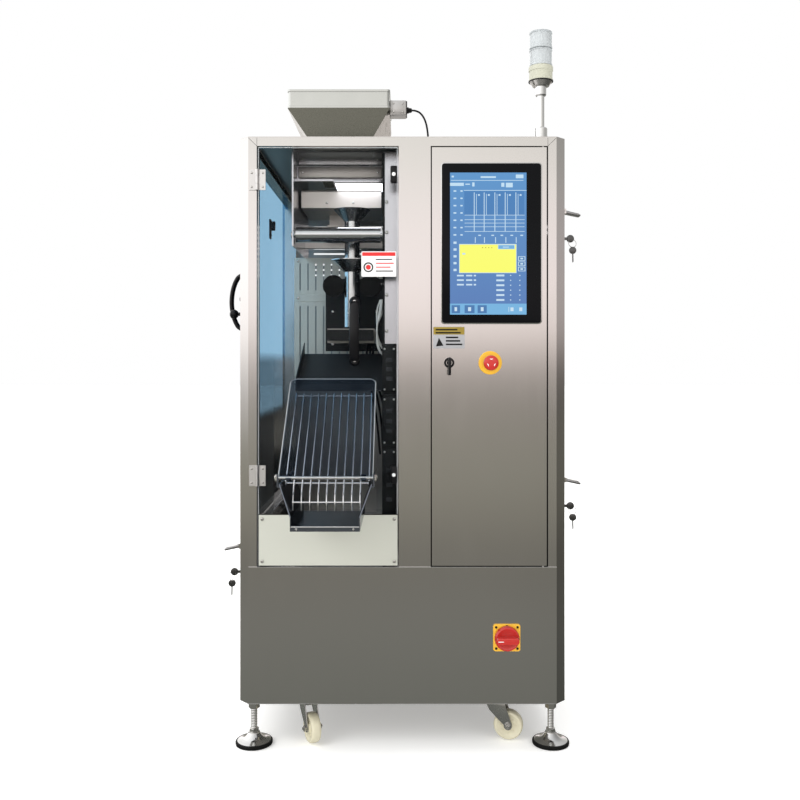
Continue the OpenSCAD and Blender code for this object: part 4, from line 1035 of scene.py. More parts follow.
class SEALER_OT_chute(bpy.types.Operator):
    """Discharge chute: round wires, cross rod with nuts, clips, folded lips and the clear cover's edges"""
    bl_idname = "sealer.chute"
    bl_label = "Chute"

    def execute(self, context):
        low, high = TRAY
        x = (low[0] + high[0]) / 2
        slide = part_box("chute_slide")
        hinge = next(j for j in frame["joints"] if j["name"] == "cover_hinge")["pos_m"]
        rod_y, rod_z = hinge[1], hinge[2]
        rise, run = 0.204, 0.218
        slope = math.atan2(rise, run)
        along = Vector((0, math.cos(slope), math.sin(slope)))
        radius = sizes().wire / 2
        drop = 0.041
        foot = Vector((0, rod_y + drop * math.sin(slope), rod_z - drop * math.cos(slope)))
        top = foot + along * ((FRONT + 0.030 - foot.y) / along.y)
        wire_half, bar_half, foot_half = 0.093, 0.0966, 0.0744
        parts = []
        for index in range(11):
            wx = x - wire_half + index * wire_half / 5
            at = Vector((wx, 0, 0))
            if index in (0, 10):
                points = [at + top, at + foot + along * 0.014]
            else:
                points = [at + top, at + top * 0.5 + foot * 0.5, at + foot + along * 0.012,
                          at + foot + Vector((0, -0.009, -0.012)),
                          at + foot + Vector((0, -0.014, -0.026)), at + foot + Vector((0, -0.013, -0.044))]
            parts.append(tube(points, radius, 2, "wire_bright"))
        for place, reach in ((top + Vector((0, -0.004, -0.006)), bar_half),
                             (foot + Vector((0, 0.018, 0.012)), bar_half),
                             (foot + Vector((0, -0.014, -0.026)), foot_half + radius)):
            parts.append(rod((x - reach, place.y, place.z), (x + reach, place.y, place.z), radius * 1.15, 14,
                             paint="wire_bright"))
        ear = slide[1][0] - x
        parts.append(rod((x - ear, rod_y, rod_z), (x + ear, rod_y, rod_z), 0.004, 24, paint="chrome_pole"))
        for side in (-1, 1):
            start = Vector((x + side * (ear - 0.0065), rod_y, rod_z))
            parts.append(turned([(0.0065, 0), (0.0072, 0.0006), (0.0072, 0.0040), (0.0060, 0.0050),
                                 (0.0040, 0.0062)], start, (side, 0, 0), 6, 20, "screw_steel"))
            clip = foot + Vector((x + side * 0.0955, 0.018, 0.012))
            parts.append(block(clip - Vector((0.003, 0.012, 0.007)), clip + Vector((0.0015, 0.012, 0.006)),
                               0.0012, 2, "machine_black"))
        joined(parts, "slide_wires", "clear_door", ["chute_slide"])
        self.lips(x, low)
        self.cover(Vector((x, rod_y, rod_z)), slope)
        return {"FINISHED"}

    def lips(self, x, low):
        """The folded lip along the tray's nose, with its screws."""
        half = 0.076
        nose, floor = low[1], low[2] + 0.026
        parts = [rod((x - half, nose + 0.0015, floor + 0.0095), (x + half, nose + 0.0015, floor + 0.0095),
                     0.0016, 10, paint="wire_bright"),
                 rod((x - half, nose + 0.0015, floor + 0.0008), (x + half, nose + 0.0015, floor + 0.0008),
                     0.0011, 10, paint="wire_bright")]
        for px in (x - half + 0.014, x + half - 0.014):
            parts.append(screw((px, nose, floor + 0.0050), (0, -1, 0), 0.0026))
        joined(parts, "tray_lip", "clear_door")

    def cover(self, pivot, slope):
        """Clear cover with rounded top corners, lit edges and two knuckles on the cross rod."""
        length = (FRONT - 0.0003 - pivot.y + 0.005 * math.sin(slope)) / math.cos(slope)
        half, corner, low, high = 0.103, 0.014, 0.005, 0.010
        turn = Matrix.Translation(pivot) @ Matrix.Rotation(slope, 4, "X")
        outline = [(-half, -0.004), (half, -0.004)]
        for cx, start in ((half - corner, 0), (-half + corner, 90)):
            for step in range(7):
                angle = math.radians(start + 15 * step)
                outline.append((cx + corner * math.cos(angle), length - corner + corner * math.sin(angle)))
        pane = plate(outline, "z", low, high, 0.0004, 1, "acrylic_cover")
        edge_line = [(a, b, (low + high) / 2) for a, b in outline] + [(outline[0][0], outline[0][1],
                                                                       (low + high) / 2)]
        rim = tube(edge_line, 0.0015, 1, "acrylic_edge_painted_highlight", smooth_path=False)
        parts = [pane, rim]
        for side in (-1, 1):
            kx = side * 0.082
            parts.append(turned([(0.0052, 0), (0.0070, 0.0006), (0.0070, 0.0114), (0.0052, 0.012)],
                                (kx - 0.006, 0, 0), (1, 0, 0), 28, paint="acrylic_cover"))
            parts.append(block((kx - 0.006, -0.006, 0.004), (kx + 0.006, 0.007, 0.0062), 0.0006, 1,
                               "acrylic_cover"))
        placed = [copied(part, turn) for part in parts]
        discard(parts)
        joined(placed, "cover_clear", "cover", ["chute_cover"])


class SEALER_OT_touch_panel(bpy.types.Operator):
    """Touch panel: black glass front, thin metal surround and a lit work screen with plain marks"""
    bl_idname = "sealer.touch_panel"
    bl_label = "Touch panel"

    def execute(self, context):
        low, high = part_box("touch_panel")
        glass_y = low[1]
        parts = [plate(rounded((low[0], low[2]), (high[0], high[2]), 0.007), "y", glass_y, FRONT, 0.0015, 3,
                       "panel_black"),
                 block((low[0] + 0.013, FRONT - 0.0005, low[2] + 0.013),
                       (high[0] - 0.013, high[1] - 0.002, high[2] - 0.013), 0.003, 2, "module_dark")]
        rim = plate(rounded((low[0] - 0.0026, low[2] - 0.0026), (high[0] + 0.0026, high[2] + 0.0026), 0.0095),
                    "y", FRONT - 0.003, FRONT - 0.0001, 0.0008, 2, "steel_bright")
        for row in range(9):
            z = low[2] + 0.06 + row * 0.011
            parts.append(block((low[0] + 0.05, high[1] - 0.003, z),
                               (high[0] - 0.05, high[1] - 0.001, z + 0.004), 0.0006, 1, "module_dark"))
        joined(parts + [rim], "panel_body", "electrics_door", ["touch_panel"])
        self.left, self.top = low[0] + 0.020, high[2] - 0.023
        self.wide, self.tall = 0.186, 0.3456
        self.face = glass_y
        self.screen()
        return {"FINISHED"}

    def mark(self, u0, v0, u1, v1, paint, level=1):
        """A thin lit patch; u runs right and v down, both from 0 to 1 over the screen."""
        x0, x1 = self.left + u0 * self.wide, self.left + u1 * self.wide
        z0, z1 = self.top - v1 * self.tall, self.top - v0 * self.tall
        obj = block((x0, self.face - 0.00012 * level - 0.0001, z0), (x1, self.face + 0.0003, z1), 0,
                    paint=paint)
        self.marks.append(obj)

    def screen(self):
        self.marks = []
        mark = self.mark
        mark(0, 0, 1, 1, "screen_blue", 1)
        mark(0.01, 0.053, 0.96, 0.057, "screen_white", 3)
        mark(0.40, 0.026, 0.60, 0.038, "screen_white", 3)
        mark(0.02, 0.022, 0.05, 0.034, "screen_white", 3)
        mark(0.86, 0.014, 0.96, 0.040, "screen_white", 3)
        mark(0.0, 0.072, 0.18, 0.094, "screen_white", 3)
        mark(0.20, 0.078, 0.26, 0.086, "screen_white", 3)
        mark(0.29, 0.070, 0.32, 0.098, "screen_white", 3)
        mark(0.67, 0.072, 0.71, 0.100, "screen_white", 3)
        mark(0.73, 0.072, 0.82, 0.104, "screen_white", 3)
        mark(0.18, 0.1235, 1.0, 0.1275, "screen_white", 3)
        mark(0.185, 0.130, 0.97, 0.300, "screen_dark", 2)
        for u in (0.315, 0.445, 0.585, 0.72, 0.86):
            mark(u - 0.004, 0.140, u + 0.006, 0.415, "screen_white", 3)
            mark(u + 0.026, 0.150, u + 0.033, 0.298, "screen_white", 3)
            mark(u + 0.050, 0.152, u + 0.075, 0.164, "screen_white", 3)
        for v in (0.298, 0.330, 0.354, 0.380, 0.413):
            mark(0.19, v, 0.975, v + 0.0034, "screen_white", 3)
        for row in range(7):
            v = 0.125 + row * 0.0515
            mark(0.045, v, 0.082, v + 0.010, "screen_white", 3)
            mark(0.135, v, 0.165, v + 0.010, "screen_white", 3)
        for row in range(5):
            mark(0.045, 0.486 + row * 0.048, 0.085, 0.502 + row * 0.048, "screen_white", 3)
        for u in (0.37, 0.54, 0.66, 0.79, 0.92):
            mark(u, 0.438, u + 0.035, 0.446, "screen_white", 3)
        for u in (0.325, 0.445, 0.59, 0.725, 0.86):
            mark(u, 0.455, u + 0.010, 0.495, "screen_white", 3)
        mark(0.118, 0.503, 0.870, 0.708, "screen_white", 3)
        mark(0.125, 0.507, 0.863, 0.704, "screen_yellow", 4)
        mark(0.625, 0.508, 0.848, 0.540, "screen_white", 5)
        mark(0.632, 0.512, 0.840, 0.537, "screen_bar", 6)
        mark(0.69, 0.522, 0.77, 0.528, "screen_white", 7)
        mark(0.16, 0.566, 0.20, 0.578, "screen_white", 5)
        for u in (0.42, 0.46, 0.50, 0.54):
            mark(u, 0.526, u + 0.012, 0.532, "ochre_label", 5)
        for row in range(3):
            v = 0.590 + row * 0.037
            mark(0.89, v, 0.985, v + 0.031, "screen_white", 3)
            mark(0.90, v + 0.004, 0.975, v + 0.027, "screen_dark", 4)
            mark(0.92, v + 0.010, 0.955, v + 0.021, "screen_white", 5)
        for row in range(3):
            v = 0.720 + row * 0.032
            for u, w in ((0.09, 0.09), (0.21, 0.08), (0.31, 0.03)):
                mark(u, v, u + w, v + 0.011, "screen_white", 3)
        for row in range(6):
            v = 0.718 + row * 0.0345
            mark(0.605, v, 0.71, v + 0.013, "screen_white", 3)
            mark(0.785, v + 0.003, 0.800, v + 0.010, "screen_white", 3)
            mark(0.905, v + 0.003, 0.920, v + 0.010, "screen_white", 3)
        mark(0.0, 0.923, 1.0, 1.0, "screen_bar", 3)
        for u, w in ((0.02, 0.11), (0.19, 0.13), (0.36, 0.12)):
            mark(u, 0.934, u + w, 0.990, "screen_dark", 4)
            mark(u + w * 0.35, 0.948, u + w * 0.65, 0.976, "screen_white", 5)
        for u in (0.79, 0.905):
            mark(u, 0.950, u + 0.040, 0.976, "screen_white", 5)
        mark(0.765, 0.946, 0.772, 0.980, "screen_white", 5)
        joined(self.marks, "panel_screen", "electrics_door")


class SEALER_OT_door_controls(bpy.types.Operator):
    """Emergency stop, key lock with its key, and the notice plate of the control door"""
    bl_idname = "sealer.door_controls"
    bl_label = "Door controls"

    def execute(self, context):
        low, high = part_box("stop_head")
        x, z = (low[0] + high[0]) / 2, (low[2] + high[2]) / 2
        face = low[1]
        r = (high[0] - low[0]) / 2
        skirt = FRONT - 0.0125
        depth = skirt - face
        head = turned([(0.0095, -0.012), (0.0095, 0), (r * 0.80, 0.0006), (r * 0.97, 0.003), (r, 0.006),
                       (r, depth - 0.006), (r * 0.94, depth - 0.0025),
                       (r * 0.80, depth - 0.0008), (r * 0.55, depth), (r * 0.3, depth)], (x, skirt, z),
                      (0, -1, 0), 56, paint="red")
        parts = [head, turned([(0.0079, 0), (0.0079, 0.028)], (x, skirt + 0.032, z), (0, -1, 0), 24,
                              paint="black_nylon")]
        for angle in (90, 210, 330):
            a = math.radians(angle)
            arrow = [(math.cos(a + d) * q, math.sin(a + d) * q) for d,
                     q in ((-0.32, r * 0.50), (0.0, r * 0.42), (0.32, r * 0.50), (0.36, r * 0.60),
                           (0.0, r * 0.53), (-0.36, r * 0.60))]
            parts.append(plate([(x + u, z + v) for u, v in arrow], "y", face - 0.0003, face + 0.0012, 0,
                               paint="white_label"))
        joined(parts, "stop_mushroom", "stop_button", ["stop_head"])
        ring_low, ring_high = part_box("stop_ring")
        ring_r = (ring_high[0] - ring_low[0]) / 2
        ring = turned([(ring_r, 0), (ring_r, 0.0035), (ring_r - 0.0015, 0.0055), (ring_r - 0.0045, 0.006),
                       (0.0125, 0.006), (0.0115, 0.0052), (0.0086, 0.0052), (0.0086, -0.004)],
                      (x, FRONT, z), (0, -1, 0), 64, paint="yellow")
        sleeve = turned([(0.0110, 0), (0.0110, 0.032), (0.0086, 0.032), (0.0086, 0.030)],
                        (x, FRONT + 0.001, z), (0, 1, 0), 36, paint="black_nylon")
        nut = turned([(0.0165, 0), (0.0165, 0.006)], (x, FRONT + 0.003, z), (0, 1, 0), 8, paint="black_nylon")
        joined([ring, sleeve, nut], "stop_collar", "electrics_door", ["stop_ring"])
        self.key()
        self.notice(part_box("touch_panel"))
        return {"FINISHED"}

    def key(self):
        low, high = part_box("control_key")
        x = (low[0] + high[0]) / 2
        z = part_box("stop_ring")[0][2] + 0.0285
        lock = turned([(0.0138, 0), (0.0138, 0.002), (0.0125, 0.004), (0.0075, 0.0042), (0.0072, 0.0028)],
                      (x, FRONT - 0.0002, z), (0, -1, 0), 40, paint="black_nylon")
        joined([lock], "key_lock_ring", "electrics_door")
        plug = turned([(0.0058, 0), (0.0058, 0.0325), (0.0050, 0.033)], (x, FRONT + 0.028, z), (0, -1, 0), 30,
                      paint="black_nylon")
        blade = block((x - 0.0011, FRONT - 0.0145, z - 0.004), (x + 0.0011, FRONT - 0.0045, z + 0.004),
                      0.0003, 1, "key_steel")
        head = plate(rounded((FRONT - 0.036, z - 0.030), (FRONT - 0.013, z + 0.011), 0.0065), "x", x - 0.003,
                     x + 0.003, 0.0014, 2, "black_nylon")
        bow = turned([(0.0072, -0.0036), (0.0088, -0.0026), (0.0088, 0.0026), (0.0072, 0.0036)],
                     (x, FRONT - 0.0245, z + 0.0045), (1, 0, 0), 26, paint="black_nylon")
        cam = block((x - 0.005, FRONT + 0.027, z - 0.022), (x + 0.005, FRONT + 0.030, z + 0.005), 0.001, 2,
                    "zinc")
        joined([plug, blade, head, bow, cam], "key_black", "door_key", ["control_key"])

    def notice(self, panel):
        """A small two-colour plate with a plain sign and bars, under the panel's left corner."""
        x0, z1 = panel[0][0] - 0.021, panel[0][2] - 0.009
        x1, z0 = x0 + 0.077, z1 - 0.053
        y = FRONT
        parts = [plate(rounded((x0, z0), (x1, z1), 0.002), "y", y - 0.0011, y - 0.0001, 0.0002,
                       paint="silver_label"),
                 block((x0 + 0.0008, y - 0.0014, z1 - 0.019), (x1 - 0.0008, y - 0.001, z1 - 0.0008), 0,
                       paint="ochre_label"),
                 plate([(x0 + 0.007, z0 + 0.005), (x0 + 0.025, z0 + 0.007), (x0 + 0.014, z0 + 0.026)], "y",
                       y - 0.0015, y - 0.001, 0, paint="ink")]
        for row in range(3):
            z = z0 + 0.008 + row * 0.0085
            parts.append(block((x0 + 0.031, y - 0.0014, z), (x1 - 0.006 - 0.005 * row, y - 0.001, z + 0.0038),
                               0, paint="ink"))
        for row in range(2):
            z = z1 - 0.0165 + row * 0.0075
            parts.append(block((x0 + 0.006, y - 0.0016, z),
                               (x1 - 0.010 - 0.008 * row, y - 0.0012, z + 0.0036), 0, paint="ink"))
        joined(parts, "control_notice", "electrics_door")


class SEALER_OT_main_switch(bpy.types.Operator):
    """Main switch: a yellow plate with rounded corners and screws, and a red knob with its grip"""
    bl_idname = "sealer.main_switch"
    bl_label = "Main switch"

    def execute(self, context):
        low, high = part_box("switch_plate")
        x, z = (low[0] + high[0]) / 2, (low[2] + high[2]) / 2
        face = low[1]
        half = (high[0] - low[0]) / 2
        parts = [plate(rounded((low[0], low[2]), (high[0], high[2]), 0.006), "y", face, high[1], 0.0014, 3,
                       "yellow"),
                 turned([(0.0312, 0), (0.0312, 0.0002), (0.0298, 0.0003), (0.0295, 0.00025)],
                        (x, face + 0.00005, z), (0, -1, 0), 56, paint="yellow")]
        for sx in (-1, 1):
            for sz in (-1, 1):
                parts.append(screw((x + sx * (half - 0.007), face, z + sz * (half - 0.007)), (0, -1, 0),
                                   0.0030, "black_nylon"))
        for place, wide in (((x, z + half - 0.0042), 0.006), ((x + half - 0.0042, z), 0.002)):
            parts.append(block((place[0] - wide / 2, face - 0.0003, place[1] - 0.0022),
                               (place[0] + wide / 2, face + 0.001, place[1] + 0.0022), 0, paint="ink"))
        joined(parts, "switch_panel", "cabinet", ["switch_plate"])
        knob_low, knob_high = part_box("switch_knob")
        r = (knob_high[0] - knob_low[0]) / 2
        back = face - 0.0003
        parts = [turned([(r * 0.93, 0), (r, 0.0015), (r, 0.009), (r * 0.95, 0.0125), (r * 0.86, 0.014),
                         (r * 0.80, 0.0132), (r * 0.5, 0.0132)],
                        (x, back, z), (0, -1, 0), 56, paint="red")]
        edit(parts[0])
        mesh = bmesh.from_edit_mesh(parts[0].data)
        rim = sorted((f for f in mesh.faces if 0.003 < back - f.calc_center_median().y < 0.008
                      and abs(f.normal.y) < 0.4),
                     key=lambda f: math.atan2(f.calc_center_median().z - z, f.calc_center_median().x - x))
        for index, one in enumerate(rim):
            one.select_set(index % 4 == 0)
        bmesh.update_edit_mesh(parts[0].data)
        bpy.ops.mesh.inset(thickness=0.0006, depth=-0.0008, use_individual=True)
        leave()
        grip = plate(rounded((x - r + 0.003, z - 0.0078), (x + r - 0.003, z + 0.0078), 0.0070, 6), "y",
                     knob_low[1], back - 0.011, 0.0022, 3, "red")
        parts.append(grip)
        parts.append(block((x - r + 0.006, knob_low[1] - 0.0001, z - 0.0009),
                           (x - r + 0.019, knob_low[1] + 0.001, z + 0.0009), 0, paint="white_label"))
        parts.append(turned([(0.0048, 0), (0.0048, 0.006)], (x, back + 0.005, z), (0, -1, 0), 20,
                            paint="black_nylon"))
        joined(parts, "switch_dial", "main_switch", ["switch_knob"])
        return {"FINISHED"}


class SEALER_OT_latches(bpy.types.Operator):
    """Flip-out lever latches, their locks with keys, and the hanging spare keys"""
    bl_idname = "sealer.latches"
    bl_label = "Side latches"

    def execute(self, context):
        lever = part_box("lever_right_upper")
        y = (lever[0][1] + lever[1][1]) / 2
        for name, node, body, door, side in (("left", "lever_left", "latch_left", "low_door", -1),
                                             ("right_upper", "lever_right_upper", "latch_right_upper",
                                              "side_door", 1),
                                             ("right_lower", "lever_right_lower", "latch_right_lower",
                                              "side_door", 1)):
            joint = next(j for j in frame["joints"] if j["child"] == body)
            z = joint["pos_m"][2]
            self.lever(name, node, body, side, y, z)
            self.lock(name, door, side, y, z)
        return {"FINISHED"}

    def put(self, parts, side, y, z):
        """Parts made for a latch at the origin that stands out towards +X, put at their place."""
        base = Matrix.Translation((side * RIGHT, y, z))
        if side < 0:
            base = base @ Matrix.Scale(-1, 4, (1, 0, 0))
        placed = [copied(part, base) for part in parts]
        discard(parts)
        return placed

    def lever(self, name, node, body, side, y, z):
        tilt = Matrix.Translation((0.009, 0, 0)) @ Matrix.Rotation(math.radians(12), 4, "Y")
        outline = [(0.0, 0.0037), (0.012, 0.0037), (0.041, 0.0020), (0.0445, 0.0004), (0.0445, -0.0030),
                   (0.040, -0.0036), (0.0, -0.0037), (-0.0032, -0.0020), (-0.0032, 0.0020)]
        blade = plate(outline, "y", -0.0118, 0.0118, 0.0010, 2, "steel_dark")
        pad = plate(rounded((0.010, -0.0085), (0.040, 0.0085), 0.003), "z", 0.0026, 0.0037, 0.0004, 1,
                    "steel_hinge")
        pin = rod((0, -0.0168, 0), (0, 0.0168, 0), 0.0029, 18, 0.0004, "screw_steel")
        tilted = [copied(part, tilt) for part in (blade, pad, pin)]
        deselect()
        for part in (blade, pad, pin):
            part.select_set(True)
        bpy.ops.object.delete()
        joined(self.put(tilted, side, y, z), "latch_lever_" + name, body, [node])

    def lock(self, name, door, side, y, z):
        parts = [turned([(0.0112, 0.003), (0.0112, 0.0052), (0.0100, 0.0068), (0.0065, 0.0071),
                         (0.0060, 0.0058)], (0, 0, -0.068), (1, 0, 0), 32, paint="screw_steel"),
                 block((0.006, -0.0011, -0.0715), (0.021, 0.0011, -0.0645), 0.0003, 1, "key_steel"),
                 turned([(0.0085, -0.0011), (0.0098, -0.0008), (0.0098, 0.0008), (0.0085, 0.0011)],
                        (0.028, 0, -0.068), (0, 1, 0), 26, paint="key_steel")]
        deselect()
        bpy.ops.mesh.primitive_torus_add(major_radius=0.0105, minor_radius=0.0008, major_segments=36,
                                         minor_segments=8,
                                         location=(0.0335, 0.0005, -0.0795),
                                         rotation=(math.radians(78), 0, math.radians(14)))
        parts.append(painted(settle(bpy.context.object), "screw_steel"))
        parts.append(turned([(0.0080, -0.0009), (0.0093, -0.0006), (0.0093, 0.0006), (0.0080, 0.0009)],
                            (0.0345, 0.001, -0.0975), (0.12, 1, 0.0), 26, paint="key_steel"))
        parts.append(plate([(0.0330, -0.104), (0.0362, -0.1045), (0.0366, -0.126), (0.0350, -0.129),
                            (0.0336, -0.127)], "y", -0.0001, 0.0021, 0.0003, 1, "key_steel"))
        for dz in (-0.010, -0.104):
            for dy in (-0.0135, 0.0135):
                parts.append(screw((0.0038, dy, dz), (1, 0, 0), 0.0024))
        joined(self.put(parts, side, y, z), "latch_lock_" + name, door)


class SEALER_OT_feet(bpy.types.Operator):
    """Levelling feet: threaded spindle, plated cone and disc, rubber rim, and lock nut under the cabinet"""
    bl_idname = "sealer.feet"
    bl_label = "Levelling feet"

    def execute(self, context):
        for corner in CORNERS:
            low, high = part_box("foot_" + corner)
            x, y = (low[0] + high[0]) / 2, (low[1] + high[1]) / 2
            r = (high[0] - low[0]) / 2
            rubber = turned([(r - 0.004, 0), (r - 0.0006, 0.0008), (r, 0.003), (r, 0.0075),
                             (r - 0.0012, 0.0092), (r - 0.004, 0.0096), (r - 0.006, 0.009)],
                            (x, y, 0), (0, 0, 1), 64, paint="tyre_black")
            disc = turned([(r - 0.005, 0.006), (r - 0.0045, 0.0098), (r - 0.008, 0.0112),
                           (r - 0.0165, 0.0128), (r - 0.022, 0.0165), (r - 0.0275, 0.0225),
                           (r - 0.031, 0.0275),
                           (0.0138, 0.0290), (0.0138, 0.0305), (0.0118, 0.0312), (0.0085, 0.0312)], (x, y, 0),
                          (0, 0, 1), 64, 40, "foot_steel")
            nut = turned([(0.0118, 0.0313), (0.0122, 0.0318), (0.0122, 0.0385), (0.0112, 0.0393),
                          (0.008, 0.0394)], (x, y, 0), (0, 0, 1), 6, 20, "screw_steel")
            spindle = self.thread(x, y, 0.031, high[2])
            joined([rubber, disc, nut] + spindle, "foot_" + corner + "_turned", "foot_" + corner,
                   ["foot_" + corner])
        return {"FINISHED"}

    def thread(self, x, y, low, high):
        """A spindle whose thread is a stack of small ridges."""
        r, pitch = 0.008, 0.004
        profile = [(r - 0.0012, low)]
        z = low
        while z < high - pitch:
            profile += [(r - 0.0009, z + pitch * 0.2), (r - 0.0001, z + pitch * 0.45),
                        (r - 0.0001, z + pitch * 0.65), (r - 0.0009, z + pitch * 0.9)]
            z += pitch
        profile.append((r - 0.0012, high))
        return [turned(profile, (x, y, 0), (0, 0, 1), 18, 50, "foot_steel")]


class SEALER_OT_castors(bpy.types.Operator):
    """Swivel castors: raceway and fork of folded zinc, axle bolt with nuts, ivory wheel with a hub"""
    bl_idname = "sealer.castors"
    bl_label = "Castors"

    def execute(self, context):
        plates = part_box("castor_plates")
        places = {"front_left": (plates[0][0] + 0.048, plates[0][1] + 0.036),
                  "front_right": (plates[1][0] - 0.048, plates[0][1] + 0.036),
                  "rear_left": (plates[0][0] + 0.048, plates[1][1] - 0.036),
                  "rear_right": (plates[1][0] - 0.048, plates[1][1] - 0.036)}
        fork = self.fork()
        wheel = self.wheel()
        bolts = []
        for corner in CORNERS:
            x, y = places[corner]
            turn = Matrix.Translation((x, y, 0)) @ Matrix.Rotation(math.radians(CASTOR_ANGLES[corner]), 4,
                                                                   "Z")
            joined([copied(part, turn) for part in fork], "castor_" + corner + "_fork", "castor_" + corner,
                   ["castor_fork_" + corner])
            joined([copied(part, turn) for part in wheel], "castor_" + corner + "_wheel", "wheel_" + corner,
                   ["castor_wheel_" + corner])
            for dx in (-0.039, 0.039):
                for dy in (-0.027, 0.027):
                    bolts.append(turned([(0.0062, 0), (0.0066, 0.0005), (0.0066, 0.0042), (0.0056, 0.0050)],
                                        (x + dx, y + dy, plates[1][2] - 0.004), (0, 0, -1), 6, 20,
                                        "screw_steel"))
        deselect()
        for part in fork + wheel:
            part.select_set(True)
        bpy.ops.object.delete()
        joined(bolts, "castor_bolts", "cabinet")
        return {"FINISHED"}

    def fork(self):
        """The fork with its swivel on the Z axis and its trail along +X."""
        top, low, axle, trail = 0.1057, 0.092, 0.039, 0.030
        parts = [turned([(0.0235, low + 0.004), (0.0240, low + 0.005), (0.0240, low + 0.0085),
                         (0.0225, low + 0.0100), (0.0232, low + 0.0112), (0.0232, top - 0.0015),
                         (0.0220, top), (0.0065, top)],
                        sides=48, paint="zinc"),
                 plate([(-0.020, -0.0168), (0.016, -0.0168), (0.023, -0.010), (0.023, 0.010), (0.016, 0.0168),
                        (-0.020, 0.0168), (-0.0235, 0.012), (-0.0235, -0.012)],
                       "z", low, low + 0.0052, 0.0010, 2, "zinc")]
        outline = [(-0.0225, low + 0.004), (0.0225, low + 0.004), (0.0245, low - 0.004),
                   (trail + 0.0105, axle + 0.006)]
        for step in range(9):
            angle = math.radians(10 - step * 25)
            outline.append((trail + 0.0105 * math.cos(angle), axle + 0.0105 * math.sin(angle)))
        outline += [(-0.016, low - 0.016), (-0.0225, low - 0.003)]
        for side in (-1, 1):
            a, b = sorted((side * 0.0142, side * 0.0170))
            parts.append(plate(outline, "y", a, b, 0.0009, 2, "zinc"))
            parts.append(turned([(0.0078, 0), (0.0082, 0.0006), (0.0082, 0.0050), (0.0072, 0.0058),
                                 (0.0045, 0.0060), (0.0045, 0.0080), (0.0038, 0.0086)],
                                (trail, side * 0.0170, axle), (0, side, 0), 6, 20, "screw_steel"))
        parts.append(rod((trail, -0.0170, axle), (trail, 0.0170, axle), 0.0048, 20, paint="screw_steel"))
        return parts

    def wheel(self):
        r, half, axle, trail = 0.0368, 0.012, 0.039, 0.030
        profile = [(0.0051, -0.0128), (0.0105, -0.0128), (0.0125, -0.0120), (0.0135, -0.0092),
                   (r - 0.0135, -0.0086), (r - 0.0095, -0.0110), (r - 0.0075, -half), (r - 0.0035, -half),
                   (r - 0.0008, -half + 0.0030),
                   (r, -half + 0.0070), (r, half - 0.0070), (r - 0.0008, half - 0.0030), (r - 0.0035, half),
                   (r - 0.0075, half), (r - 0.0095, 0.0110), (r - 0.0135, 0.0086), (0.0135, 0.0092),
                   (0.0125, 0.0120), (0.0105, 0.0128), (0.0051, 0.0128)]
        parts = [turned(profile, (trail, 0, axle), (0, 1, 0), 72, 40, "ivory")]
        for side in (-1, 1):
            parts.append(turned([(0.0100, 0), (0.0100, 0.0006), (0.0085, 0.0011), (0.0052, 0.0011)],
                                (trail, side * 0.0127, axle), (0, side, 0), 32, paint="screw_steel"))
            for index in range(8):
                a = math.radians(45 * index)
                place = Vector((trail + 0.0185 * math.cos(a), side * 0.0088, axle + 0.0185 * math.sin(a)))
                rib = turned([(0.0022, 0), (0.0022, 0.0012), (0.0014, 0.0018)], place, (0, side, 0), 12,
                             paint="ivory")
                parts.append(rib)
        return parts


